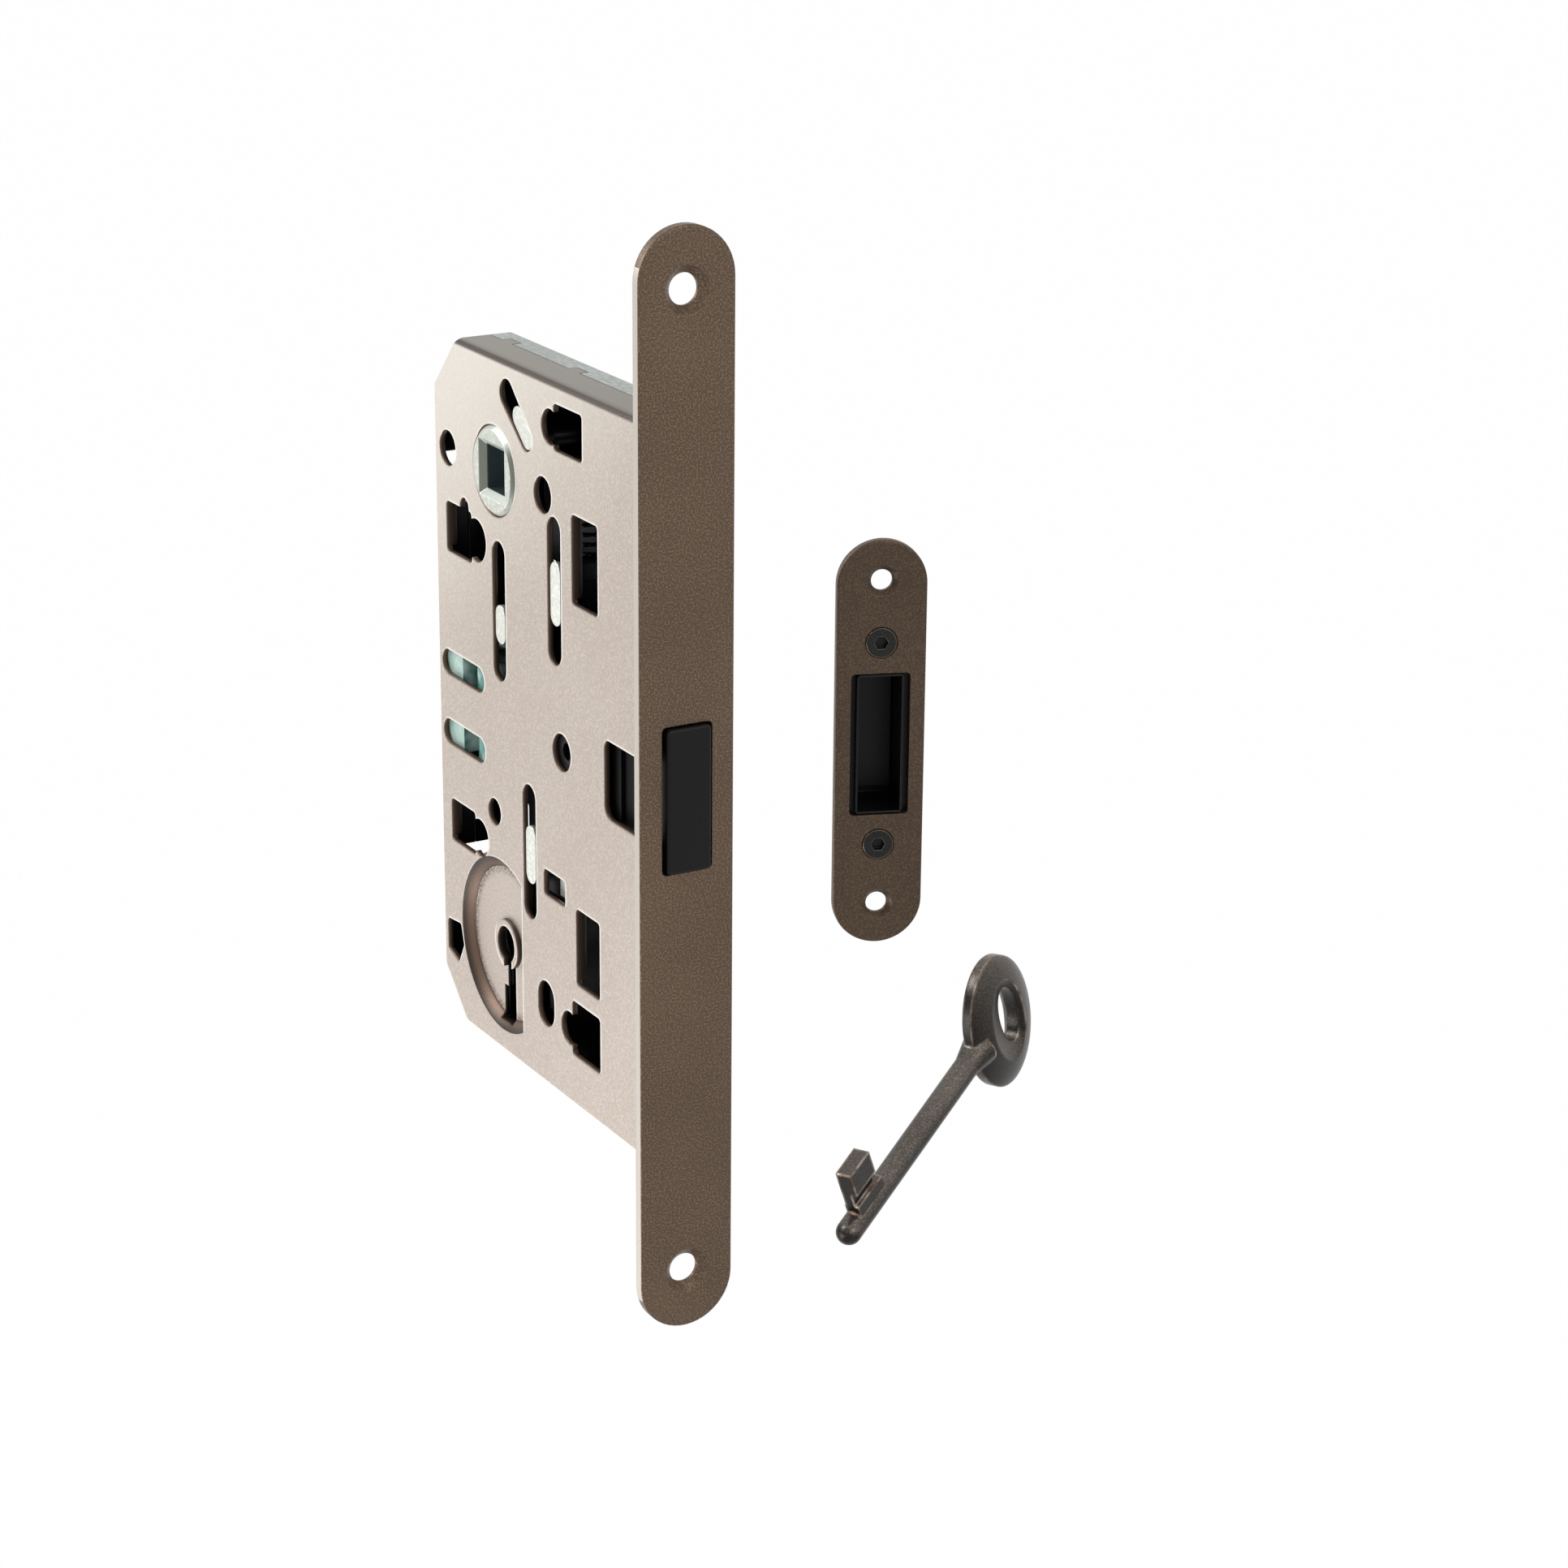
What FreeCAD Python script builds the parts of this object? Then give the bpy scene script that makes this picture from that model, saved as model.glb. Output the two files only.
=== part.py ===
"""Magnetic mortise sashlock for a warded key, with its strike and its key.

Millimetres. The origin is the centre of the forend's front face. +Y runs into the door, +Z up, and X
across the case, whose near side faces -X. The latch is drawn in, as it is with the door open.
"""
import FreeCAD
import Part
import Sketcher
import math
import os
import re

V = FreeCAD.Vector
doc = FreeCAD.newDocument("Sashlock")

SIZES = {
    # forend plate
    "forend_long": 196.0, "forend_wide": 18.0, "forend_thick": 2.0, "forend_edge": 0.4,
    "screw_in": 10.7, "forend_hole": 2.7, "forend_sink": 1.42,
    "mouth_wide": 9.6, "mouth_tall": 26.4, "mouth_corner": 0.9, "latch_up": 0.6,
    # case, both halves
    "case_thick": 12.0, "sheet": 1.0, "case_rear": 85.5, "top_margin": 21.0, "low_margin": 21.6,
    "cut_corner": 10.9, "cut_drop": 10.6, "top_cut_drop": 11.7, "cut_inset": 0.4,
    "bend": 1.5, "seam": 0.6, "seam_gap": 0.15,
    "tab_reach": 1.7, "tab_wide": 4.0, "tab_front": 39.5, "tab_rear": 65.5,
    "flap_deep": 1.0, "hole_edge": 0.8, "rear_gap_half": 3.9, "rear_gap_tall": 10.0,
    "rear_gap_high": 42.5, "rear_gap_low": -34.1,
    # holes in both halves
    "backset": 60.0, "hub_up": 44.6, "centres": 90.0, "rosette": 19.0, "rosette_hole": 3.3,
    "boss_back": 34.7, "boss_up": -0.5, "boss_hole": 3.45, "small_back": 62.0, "small_up": -19.9,
    "small_hole": 2.55, "oval_back": 41.9, "oval_up": -50.5, "oval_half": 3.2, "oval_rise": 1.15,
    "vent_front": 67.9, "vent_rear": 80.6, "vent_half": 2.4, "vent_high": 3.75, "vent_low": -9.75,
    "latch_window_back": 18.5, "latch_window_low": -7.4, "latch_window_top": 6.8,
    # five-sided hole behind the recess, from the recess's edge and the key's centre
    "gap_land": 2.5, "gap_front_top": 0.6, "gap_front_low": 1.8, "gap_point_in": 0.5, "gap_top": 1.6,
    "gap_top_rear": 2.2, "gap_point_drop": 5.6, "gap_low_rear": 8.3, "gap_low": 9.8,
    # keyhole and the round recess about it
    "recess": 16.7, "recess_floor": 14.6, "recess_deep": 1.8, "recess_flat": 51.5,
    "collar": 4.75, "collar_high": 0.9, "key_hole": 3.45, "slot_front": 57.9, "neck_rear": 61.0,
    "slot_rear": 62.5, "neck_low": -54.2, "slot_low": -61.0,
    # clearances
    "running": 0.05, "sliding": 0.15, "loose": 0.3, "air": 0.25,
    # follower
    "follower_body": 8.8, "journal": 8.3, "hub_proud": 0.5, "hub_chamfer": 0.9, "square": 8.1,
    "square_mouth": 10.4, "lift_reach": 13.33, "lift_angle": 194.0,
    "push_reach": 10.6, "push_angle": 145.2, "nose": 1.4, "arm_half": 0.9,
    # layers of the plates inside
    "plate": 1.5, "near_layer": -3.6, "mid_half": 1.5, "far_layer": 2.6, "far_plate": 1.8,
    # pale pills in the slots
    "pill_half": 1.9, "pill_face": 0.2, "slot_half": 2.5, "post_travel": 6.5,
    "c1_back": 58.8, "c1_up": 16.5, "c1_half": 3.6, "c1_slot": 19.0, "c1_slot_half": 13.0,
    "c2_back": 36.9, "c2_up": 27.8, "c2_half": 5.75, "c2_slot": 28.3, "c2_slot_half": 13.35,
    "c3_back": 47.8, "c3_up": -23.8, "c3_half": 5.5, "c3_slot": -23.2, "c3_slot_half": 12.8,
    # transfer slide
    "shelf_front": 45.0, "shelf_rear": 49.0, "shelf_thick": 3.0,
    "column_wide": 4.0, "foot_low": 12.0, "foot_top": 21.0, "foot_front": 34.2, "foot_rear": 62.0,
    # return slider, which runs aslant
    "slider_back": 48.9, "slider_up": 54.7, "slider_half": 4.3, "slider_angle": 41.24,
    "slider_travel": 5.13, "slider_plate_half": 6.0, "slider_plate_wide": 3.0,
    # latch
    "latch_wide": 8.4, "latch_tall": 25.8, "latch_proud": 1.0, "latch_deep": 23.0, "latch_corner": 0.8,
    "latch_edge": 0.5, "latch_travel": 9.0, "tail_low": 4.0, "tail_top": 11.0, "tail_rear": 52.0,
    "lug_back": 44.0, "lug_thick": 1.5, "lug_top": 16.4, "comb_low": -9.5, "comb_top": -5.0,
    "comb_rear": 47.0, "notch_deep": 3.0, "armature_front": 1.6, "armature_rear": 16.0,
    "armature_low": -8.0, "armature_top": 9.0, "armature_deep": 5.5, "armature_thick": 4.7,
    # latch crank
    "crank_back": 44.0, "crank_up": 20.0, "crank_boss": 4.0, "crank_arm": 9.4, "crank_finger": 13.0,
    "crank_tilt": 20.2, "crank_nose": 1.5, "finger": 1.2, "crank_pin": 1.9, "pin_head": 2.9,
    # latch guide
    "rail": 2.9, "guide_wall": 2.5, "guide_rear": 27.0, "boss": 3.2, "boss_bore": 1.6,
    # lock slide
    "lock_travel": 6.0, "lock_front": 31.6, "lock_rear": 50.0, "lock_low": -30.0, "lock_top": -13.5,
    "tongue_back": 33.5, "tongue_half": 1.9, "tongue_top": -12.8, "talon_front": 45.5, "talon_low": -37.5,
    # springs
    "spring_back": 35.0, "spring_half": 2.3, "spring_wire": 0.6, "spring_turns": 9.0, "seat_up": 50.2,
    "seat_thick": 1.0, "latch_spring_half": 1.8, "latch_spring_wire": 0.4, "latch_spring_up": 13.8,
    "latch_spring_turns": 11.0, "leaf": 0.4, "return_clamp": 12.0, "return_bend": 2.0,
    "return_tip_back": 5.9, "return_tip_up": 1.6, "detent_clamp": 4.4, "detent_knee": 6.6,
    "detent_long": 11.6, "detent_set": 1.4,
    # damper block
    "damper_front": 64.6, "damper_low": -13.0, "damper_top": 7.0, "damper_round": 4.9,
    "damper_flat": 76.5, "damper_web": 2.0,
    # strike
    "strike_across": 85.0, "strike_back": 75.7, "strike_up": -25.6, "strike_yaw": -20.3,
    "strike_long": 83.6, "strike_wide": 18.0, "strike_thick": 1.8, "strike_edge": 0.4,
    "strike_hole_in": 8.25, "strike_hole": 2.15, "strike_sink": 0.95, "strike_mouth_wide": 11.9,
    "strike_mouth_tall": 29.4, "box_wide": 9.4, "box_tall": 28.8, "box_wall": 0.4, "box_deep": 13.0,
    "box_floor": 0.8, "box_face": 0.15, "box_corner": 0.8, "box_flange": 1.4, "box_flange_end": 4.05,
    "box_flange_wide": 6.6, "strike_shift": 1.1, "clamp_in": 6.25, "screw_head": 3.05,
    "screw_recess": 3.35, "screw_shank": 1.5, "screw_head_deep": 1.55, "screw_long": 6.0,
    "socket": 2.5, "socket_deep": 1.2, "nut_side": 7.0, "nut_thick": 2.2, "magnet_wide": 8.2,
    "magnet_tall": 24.0, "magnet_thick": 2.5,
    # key
    "key_across": 115.86, "key_back": 134.75, "key_up": -164.0, "key_axis_x": 0.2032,
    "key_axis_y": 0.0194, "key_axis_z": -0.9789, "key_turn": 153.83, "key_shank": 3.0, "key_long": 61.0,
    "bow_back": 72.4, "bow_up": 0.7, "bow_half_wide": 13.0, "bow_half_tall": 17.8, "bow_swell": 3.75,
    "eye_land": 1.7, "eye_back": 75.2, "eye_half_wide": 3.9, "eye_half_tall": 8.0,
    "ridge_half_wide": 8.0, "ridge_half_tall": 14.0, "swell_ratio": 1.05, "neck": 4.4,
    "neck_long": 7.0, "shank_tuck": 2.5, "bit_reach": 15.0,
    "bit_foot": 8.8, "web": 2.5, "web_long": 10.8, "bit_long": 8.5, "bit_thick": 4.1, "bit_start": 3.2,
    "foot_step": 1.0, "foot_high": 2.2,
}

# Rectangular windows in both halves: front, rear, low and top edge
WINDOWS = {
    "window_a": (26.0, 36.5, 53.5, 61.8), "window_b": (69.6, 80.0, 25.2, 34.7),
    "window_c": (20.6, 30.1, 27.8, 43.8), "window_d": (70.2, 80.3, -31.0, -22.7),
    "window_e": (20.8, 29.7, -42.5, -28.0), "window_f": (20.8, 31.5, -56.5, -46.0),
    "window_g": (33.9, 42.2, -29.3, -24.4),
}
# Round lobes that open beside the windows: back, up, radius
LOBES = {
    "lobe_a": (37.9, 57.3, 3.2), "lobe_b": (67.8, 30.0, 4.0), "lobe_b_top": (72.5, 35.0, 1.8),
    "lobe_d": (68.4, -27.0, 3.6), "lobe_f": (32.7, -51.9, 3.15),
}
for name, edges in WINDOWS.items():
    for side, number in zip(("front", "rear", "low", "top"), edges):
        SIZES[name + "_" + side] = number
for name, numbers in LOBES.items():
    for part, number in zip(("back", "up", "round"), numbers):
        SIZES[name + "_" + part] = number

# Sizes that follow others
TIED = {
    "forend_screws": "forend_long - 2 * screw_in",
    "key_at": "hub_up - centres",
    "case_top": "hub_up + top_margin",
    "case_low": "hub_up - centres - low_margin",
    "strike_holes": "strike_long - 2 * strike_hole_in",
    "clamp_screws": "strike_mouth_tall + 2 * clamp_in",
    "box_flange_half": "strike_mouth_tall / 2 + clamp_in + box_flange_end",
}

sheet = doc.addObject("Spreadsheet::Sheet", "Sizes")
cells = [(name, str(number)) for name, number in SIZES.items()]
cells += [(name, "=" + formula) for name, formula in TIED.items()]
for row, (name, content) in enumerate(cells, 1):
    sheet.set(f"A{row}", name)
    sheet.set(f"B{row}", content)
    sheet.setAlias(f"B{row}", name)
doc.recompute()


def sized(text):
    """Point each size named in an expression at the sheet."""
    return re.sub(r"[a-z]\w*", lambda m: "Sizes." + m[0] if m[0] in SIZES or m[0] in TIED else m[0],
                  str(text))


def value(text):
    """The number that an expression of sizes gives."""
    return float(sheet.evalExpression(sized(text)))


def bind(thing, prop, text):
    """Tie a property to an expression of sizes."""
    thing.setExpression(prop, sized(text))


# Sketch loops: each adds its lines and returns its constraints with the sizes that they are bound to

def pin_point(line, point, across, up):
    """Hold one point of a sketch at two distances from its origin."""
    return [(("DistanceX", -1, 1, line, point), across), (("DistanceY", -1, 1, line, point), up)]


def ring(across, up, radius):
    """A circle."""
    def draw(drawn):
        circle = Part.Circle(V(value(across), value(up), 0), V(0, 0, 1), value(radius))
        line = drawn.addGeometry(circle, False)
        return pin_point(line, 3, across, up) + [(("Radius", line), radius)]
    return draw


def end_at(drawn, line, spot):
    """Which end of an arc or line lies at a spot."""
    return 1 if drawn.getPoint(line, 1).distanceToPoint(spot) < 1e-4 else 2


def slot(across, up, radius, across_2, up_2, radius_2=None):
    """Two arcs and the two lines that touch both."""
    def draw(drawn):
        a = V(value(across), value(up), 0)
        b = V(value(across_2), value(up_2), 0)
        ra = value(radius)
        rb = value(radius_2 or radius)
        along = (b - a).normalize()
        lean = (ra - rb) / (b - a).Length
        side = V(-along.y, along.x, 0)
        out = [along * lean + side * (s * math.sqrt(1 - lean * lean)) for s in (1, -1)]
        arc_a = drawn.addGeometry(Part.Arc(a + out[0] * ra, a - along * ra, a + out[1] * ra), False)
        arc_b = drawn.addGeometry(Part.Arc(b + out[1] * rb, b + along * rb, b + out[0] * rb), False)
        held = pin_point(arc_a, 3, across, up) + pin_point(arc_b, 3, across_2, up_2)
        held += [(("Radius", arc_a), radius), (("Radius", arc_b), radius_2 or radius)]
        for direction in out:
            line = drawn.addGeometry(Part.LineSegment(a + direction * ra, b + direction * rb), False)
            for arc, spot, end in ((arc_a, a + direction * ra, 1), (arc_b, b + direction * rb, 2)):
                held.append((("Tangent", line, end, arc, end_at(drawn, arc, spot)), None))
        return held
    return draw


def outline(*corners):
    """A polygon through bound corners, each (across, up) or (across, up, radius of its rounding)."""
    def draw(drawn):
        spots = [V(value(c[0]), value(c[1]), 0) for c in corners]
        count = len(corners)
        ends = []
        for n, corner in enumerate(corners):
            back = (spots[n - 1] - spots[n]).normalize()
            ahead = (spots[(n + 1) % count] - spots[n]).normalize()
            cut = value(corner[2]) / math.tan(back.getAngle(ahead) / 2) if len(corner) > 2 else 0
            ends.append((spots[n] + back * cut, spots[n] + ahead * cut))
        lines = []
        for n in range(count):
            segment = Part.LineSegment(ends[n][1], ends[(n + 1) % count][0])
            lines.append(drawn.addGeometry(segment, False))
        held = []
        for n, corner in enumerate(corners):
            before = lines[n - 1]
            after = lines[n]
            if len(corner) == 2:
                held.append((("Coincident", before, 2, after, 1), None))
                held += pin_point(after, 1, corner[0], corner[1])
                continue
            start, end = ends[n]
            inward = ((start + end) * 0.5 - spots[n]).normalize()
            reach = spots[n].distanceToPoint(start)
            to_arc = math.hypot(reach, value(corner[2])) - value(corner[2])
            arc = drawn.addGeometry(Part.Arc(start, spots[n] + inward * to_arc, end), False)
            mark = drawn.addGeometry(Part.Point(spots[n]), True)
            held += pin_point(mark, 1, corner[0], corner[1])
            for line, spot, tip in ((before, start, 2), (after, end, 1)):
                held.append((("Tangent", line, tip, arc, end_at(drawn, arc, spot)), None))
                held.append((("PointOnObject", mark, 1, line), None))
            held.append((("Radius", arc), corner[2]))
        return held
    return draw


def rectangle(left, right, low, top, rounding=None):
    """Four corners, rounded where a radius is given."""
    more = (rounding,) if rounding else ()
    return outline((left, low, *more), (right, low, *more), (right, top, *more), (left, top, *more))


# Features of a body

def body(label):
    """An empty body with its label."""
    made = doc.addObject("PartDesign::Body", label)
    made.Label = label
    return made


def sketch(owner, plane, height, *loops):
    """Loops drawn on one of the body's own planes, at a height along the plane's normal."""
    drawn = owner.newObject("Sketcher::SketchObject", owner.Label + "_sketch")
    base = next(f for f in owner.Origin.OriginFeatures if f.Role == plane + "_Plane")
    drawn.AttachmentSupport = (base, [""])
    drawn.MapMode = "FlatFace"
    bind(drawn, "AttachmentOffset.Base.z", height)
    held = [pair for loop in loops for pair in loop(drawn)]
    rules = [Sketcher.Constraint(*rule, *([value(text)] if text else [])) for rule, text in held]
    for number, (_, text) in zip(drawn.addConstraint(rules), held):
        if text:
            bind(drawn, f"Constraints[{number}]", text)
    doc.recompute()
    return drawn


def feature(owner, kind, drawn, length, back):
    """A pad or pocket of a sketch, which must change the volume the right way."""
    before = owner.Tip.Shape.Volume if owner.Tip else 0.0
    made = owner.newObject("PartDesign::" + kind, owner.Label + "_" + kind.lower())
    made.Profile = drawn
    bind(made, "Length", length)
    made.Reversed = back
    doc.recompute()
    gained = made.Shape.Volume - before
    if gained * (1 if kind == "Pad" else -1) <= 0:
        raise ValueError(f"{made.Name} changes nothing")
    return made


def pad(owner, drawn, length, back=False):
    """Add along the sketch's normal, or against it."""
    return feature(owner, "Pad", drawn, length, back)


def pocket(owner, drawn, length, back=False):
    """Cut against the sketch's normal, or along it."""
    return feature(owner, "Pocket", drawn, length, back)


def dress(owner, kind, size, test):
    """Round or chamfer the edges of the tip that pass a test."""
    tip = owner.Tip
    names = [f"Edge{n}" for n, edge in enumerate(tip.Shape.Edges, 1) if test(edge)]
    made = owner.newObject("PartDesign::" + kind, owner.Label + "_" + kind.lower())
    made.Base = (tip, names)
    bind(made, "Radius" if kind == "Fillet" else "Size", size)
    doc.recompute()
    return made


def flat_at(edge, axis, place):
    """Whether an edge lies in the plane where one coordinate has a given value."""
    low = getattr(edge.BoundBox, axis + "Min")
    high = getattr(edge.BoundBox, axis + "Max")
    return abs(low - place) < 1e-4 and abs(high - place) < 1e-4


# Plain solids and booleans

def box(x, y, z):
    """A block between two expressions along each axis."""
    made = doc.addObject("Part::Box", "block")
    for prop, axis, (low, high) in (("Length", "x", x), ("Width", "y", y), ("Height", "z", z)):
        bind(made, prop, f"({high}) - ({low})")
        bind(made, "Placement.Base." + axis, low)
    return made


def rod(axis, across, up, radius, span):
    """A cylinder along an axis; across and up are its other two coordinates, in order."""
    made = doc.addObject("Part::Cylinder", "rod")
    turns = {"x": FreeCAD.Rotation(V(0, 1, 0), 90), "y": FreeCAD.Rotation(V(1, 0, 0), -90),
             "z": FreeCAD.Rotation()}
    made.Placement = FreeCAD.Placement(V(), turns[axis])
    others = [a for a in "xyz" if a != axis]
    bind(made, "Radius", radius)
    bind(made, "Height", f"({span[1]}) - ({span[0]})")
    bind(made, "Placement.Base." + axis, span[0])
    bind(made, "Placement.Base." + others[0], across)
    bind(made, "Placement.Base." + others[1], up)
    return made


def fuse(*solids):
    """Several solids as one object."""
    made = doc.addObject("Part::MultiFuse", "joined")
    made.Shapes = list(solids)
    made.Refine = True
    return made


def cut(base, *tools):
    """A solid with others taken out of it."""
    made = doc.addObject("Part::Cut", "cut")
    made.Base = base
    made.Tool = tools[0] if len(tools) == 1 else fuse(*tools)
    made.Refine = True
    return made


def place(thing, x, y, z, axis=V(1, 0, 0), angle=None):
    """Put a thing at bound coordinates, turned about an axis by a bound angle in degrees."""
    turn = value(angle) if angle else 0
    thing.Placement = FreeCAD.Placement(V(value(x), value(y), value(z)), FreeCAD.Rotation(axis, turn))
    for name, text in (("x", x), ("y", y), ("z", z)):
        bind(thing, "Placement.Base." + name, text)
    if angle:
        bind(thing, "Placement.Rotation.Angle", angle)
    return thing


def pill(back, up, half, half_wide, x, angle=None):
    """A post with round ends, long up the case, or along the slant where an angle is given."""
    long = f"({half}) - ({half_wide})"
    solid = fuse(box(x, (f"-({half_wide})", half_wide), (f"-({long})", long)),
                 rod("x", "0", long, half_wide, x), rod("x", "0", f"-({long})", half_wide, x))
    return place(solid, "0", back, up, V(1, 0, 0), angle)


def named(thing, label):
    """Give a finished piece its label."""
    thing.Label = label
    pieces.append(thing)
    return thing


pieces = []


# Forend and strike plate: flat bars with round ends, a mouth and sunk screw holes

def flat_bar(label, wide, long, thick, edge, mouth, holes, radius, sink):
    """A bar whose front face lies at y = 0 and whose front edges are eased."""
    made = body(label + "_bar")
    end = f"({long} - {wide}) / 2"
    blank = sketch(made, "XZ", "0", slot("0", end, f"{wide} / 2", "0", f"-{end}"))
    pad(made, blank, thick, back=True)
    dress(made, "Fillet", edge, lambda e: flat_at(e, "Y", 0.0))
    opening = sketch(made, "XZ", "0", mouth)
    pocket(made, opening, thick)
    for spacing in holes:
        pair = [ring("0", f"{s}{spacing} / 2", radius) for s in ("", "-")]
        pocket(made, sketch(made, "XZ", "0", *pair), thick)
    bore = value(radius)
    dress(made, "Chamfer", sink, lambda e: flat_at(e, "Y", 0.0) and e.Length < 7 * bore
          and abs(abs(e.BoundBox.Center.z) - value(holes[0]) / 2) < 0.01)
    return made


def make_forend():
    mouth = rectangle("-mouth_wide / 2", "mouth_wide / 2", "latch_up - mouth_tall / 2",
                      "latch_up + mouth_tall / 2", "mouth_corner")
    named(flat_bar("forend_plate", "forend_wide", "forend_long", "forend_thick", "forend_edge", mouth,
                   ["forend_screws"], "forend_hole", "forend_sink"), "forend_plate")


# Case: two trays of bent sheet that meet along a seam on the top, rear and bottom

def case_openings(near):
    """What is punched through a half: windows and slots, then what opens beside them in the near one."""
    windows = [rectangle(n + "_front", n + "_rear", n + "_low", n + "_top", "hole_edge") for n in WINDOWS]
    if near:
        slots = [slot(f"{c}_back", f"{c}_slot - {c}_slot_half + slot_half", "slot_half",
                      f"{c}_back", f"{c}_slot + {c}_slot_half - slot_half") for c in ("c1", "c2", "c3")]
    else:
        slots = [slot(f"{c}_back", f"{c}_up - {c}_half + pill_half", "slot_half",
                      f"{c}_back", f"{c}_up + {c}_half - pill_half + post_travel")
                 for c in ("c1", "c2", "c3")]
    vents = [slot("vent_front", up, "vent_half", "vent_rear", up) for up in ("vent_high", "vent_low")]
    run_y = math.cos(math.radians(SIZES["slider_angle"]))
    run_z = math.sin(math.radians(SIZES["slider_angle"]))
    start = "(slider_half - pill_half)"
    end = "(slider_half - pill_half + slider_travel)"
    slant = slot(f"slider_back - {start} * {run_y:.4f}", f"slider_up - {start} * {run_z:.4f}",
                 "pill_half + sliding * 2", f"slider_back + {end} * {run_y:.4f}",
                 f"slider_up + {end} * {run_z:.4f}", "pill_half + sliding * 5")
    holes = [ring("backset", "hub_up", "journal + running"),
             ring("backset + rosette", "hub_up", "rosette_hole"),
             ring("backset - rosette", "hub_up", "rosette_hole"),
             ring("boss_back", "boss_up", "boss_hole")]
    if not near:
        return [windows, slots + vents + [slant, latch_side()], holes]
    extra = [ring("small_back", "small_up", "small_hole"),
             slot("oval_back", "oval_up - oval_rise", "oval_half", "oval_back", "oval_up + oval_rise"),
             outline(("backset + recess + gap_front_top", "key_at - gap_top", "hole_edge"),
                     ("case_rear - gap_land", "key_at - gap_top_rear", "hole_edge"),
                     ("case_rear - gap_land", "key_at - gap_low_rear", "hole_edge"),
                     ("backset + recess + gap_front_low", "key_at - gap_low", "hole_edge"),
                     ("backset + recess - gap_point_in", "key_at - gap_point_drop"))]
    lobes = [ring(n + "_back", n + "_up", n + "_round") for n in LOBES]
    return [windows, slots + vents + [slant, latch_side()], holes + extra, lobes]


def latch_side():
    """The window at the front edge, beside the latch."""
    return outline(("forend_thick - sheet", "latch_window_low"),
                   ("latch_window_back", "latch_window_low", "bend * 1.6"),
                   ("latch_window_back", "latch_window_top", "bend"),
                   ("forend_thick - sheet", "latch_window_top"))


def d_shape(radius, flat):
    """A circle about the key's centre, cut by an upright line in front of it."""
    def draw(drawn):
        back = value("backset")
        up = value("key_at")
        r = value(radius)
        rise = math.sqrt(r * r - (back - value(flat)) ** 2)
        low = V(value(flat), up - rise, 0)
        top = V(value(flat), up + rise, 0)
        arc = drawn.addGeometry(Part.Arc(low, V(back + r, up, 0), top), False)
        line = drawn.addGeometry(Part.LineSegment(top, low), False)
        held = pin_point(arc, 3, "backset", "key_at")
        held += [(("Coincident", arc, end_at(drawn, arc, low), line, 2), None),
                 (("Coincident", arc, end_at(drawn, arc, top), line, 1), None),
                 (("Radius", arc), radius), (("DistanceX", -1, 1, line, 1), flat),
                 (("Vertical", line), None)]
        return held
    return draw


def case_half(label, near):
    """One tray: a side with openings, and flanges at its top, rear and bottom."""
    made = body(label)
    face = "-case_thick / 2" if near else "case_thick / 2"
    inside = f"{face} + sheet" if near else f"{face} - sheet"
    reach = "case_thick / 2 + seam" if near else "case_thick / 2 - seam - seam_gap"
    front = "forend_thick"
    edge = outline((front, "case_low"), ("case_rear - cut_corner", "case_low"),
                   ("case_rear", "case_low + cut_drop"), ("case_rear", "case_top - top_cut_drop"),
                   ("case_rear - cut_corner", "case_top"), (front, "case_top"))
    pad(made, sketch(made, "YZ", face, edge), reach, back=not near)
    corner = value("case_rear - cut_corner")
    dress(made, "Fillet", "bend", lambda e: flat_at(e, "X", value(face)) and (
        flat_at(e, "Y", value("case_rear")) or (e.BoundBox.YMax < corner + 0.01 and e.Length > 40
                                                and not flat_at(e, "Y", value(front)))))
    hollow = outline(("0", "case_low + sheet"), ("case_rear - cut_corner - cut_inset", "case_low + sheet"),
                     ("case_rear - sheet", "case_low + cut_drop + cut_inset"),
                     ("case_rear - sheet", "case_top - top_cut_drop - cut_inset"),
                     ("case_rear - cut_corner - cut_inset", "case_top - sheet"), ("0", "case_top - sheet"))
    pocket(made, sketch(made, "YZ", inside, hollow), "case_thick", back=near)
    flaps = [rectangle(n + "_rear", n + "_rear + sheet", n + "_low + hole_edge", n + "_top - hole_edge")
             for n in ("window_b", "window_c", "window_d", "window_e")]
    pad(made, sketch(made, "YZ", inside, *flaps), "flap_deep", back=not near)
    if near:
        key_recess(made, face, inside)
    for loops in case_openings(near):
        pocket(made, sketch(made, "YZ", face, *loops), "sheet", back=near)
    key_opening(made, face, near)
    top_tabs(made, near)
    gaps = [rectangle("-rear_gap_half", "rear_gap_half", f"{at} - rear_gap_tall", at)
            for at in ("rear_gap_high", "rear_gap_low")]
    pocket(made, sketch(made, "XZ", "sheet * 2 - case_rear", *gaps), "sheet * 3")
    if not near:
        lip = rectangle("spring_back - spring_half", "spring_back + spring_half", "seat_up",
                        "seat_up + seat_thick")
        pad(made, sketch(made, "YZ", inside, lip), "case_thick / 2 - sheet + spring_half", back=True)
    return named(made, label)


def key_recess(made, face, inside):
    """The round dish about the keyhole, with the collar on its floor."""
    rim = sketch(made, "YZ", inside, d_shape("recess + hole_edge", "recess_flat - sheet"))
    pad(made, rim, "recess_deep")
    wide = sketch(made, "YZ", face, d_shape("recess", "recess_flat"))
    floor = sketch(made, "YZ", f"{face} + recess_deep", d_shape("recess_floor", "recess_flat + hole_edge"))
    dish = made.newObject("PartDesign::SubtractiveLoft", "dish")
    dish.Profile = wide
    dish.Sections = [floor]
    dish.Ruled = True
    doc.recompute()
    collar = sketch(made, "YZ", f"{face} + recess_deep", ring("backset", "key_at", "collar"))
    pad(made, collar, "collar_high", back=True)


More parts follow.
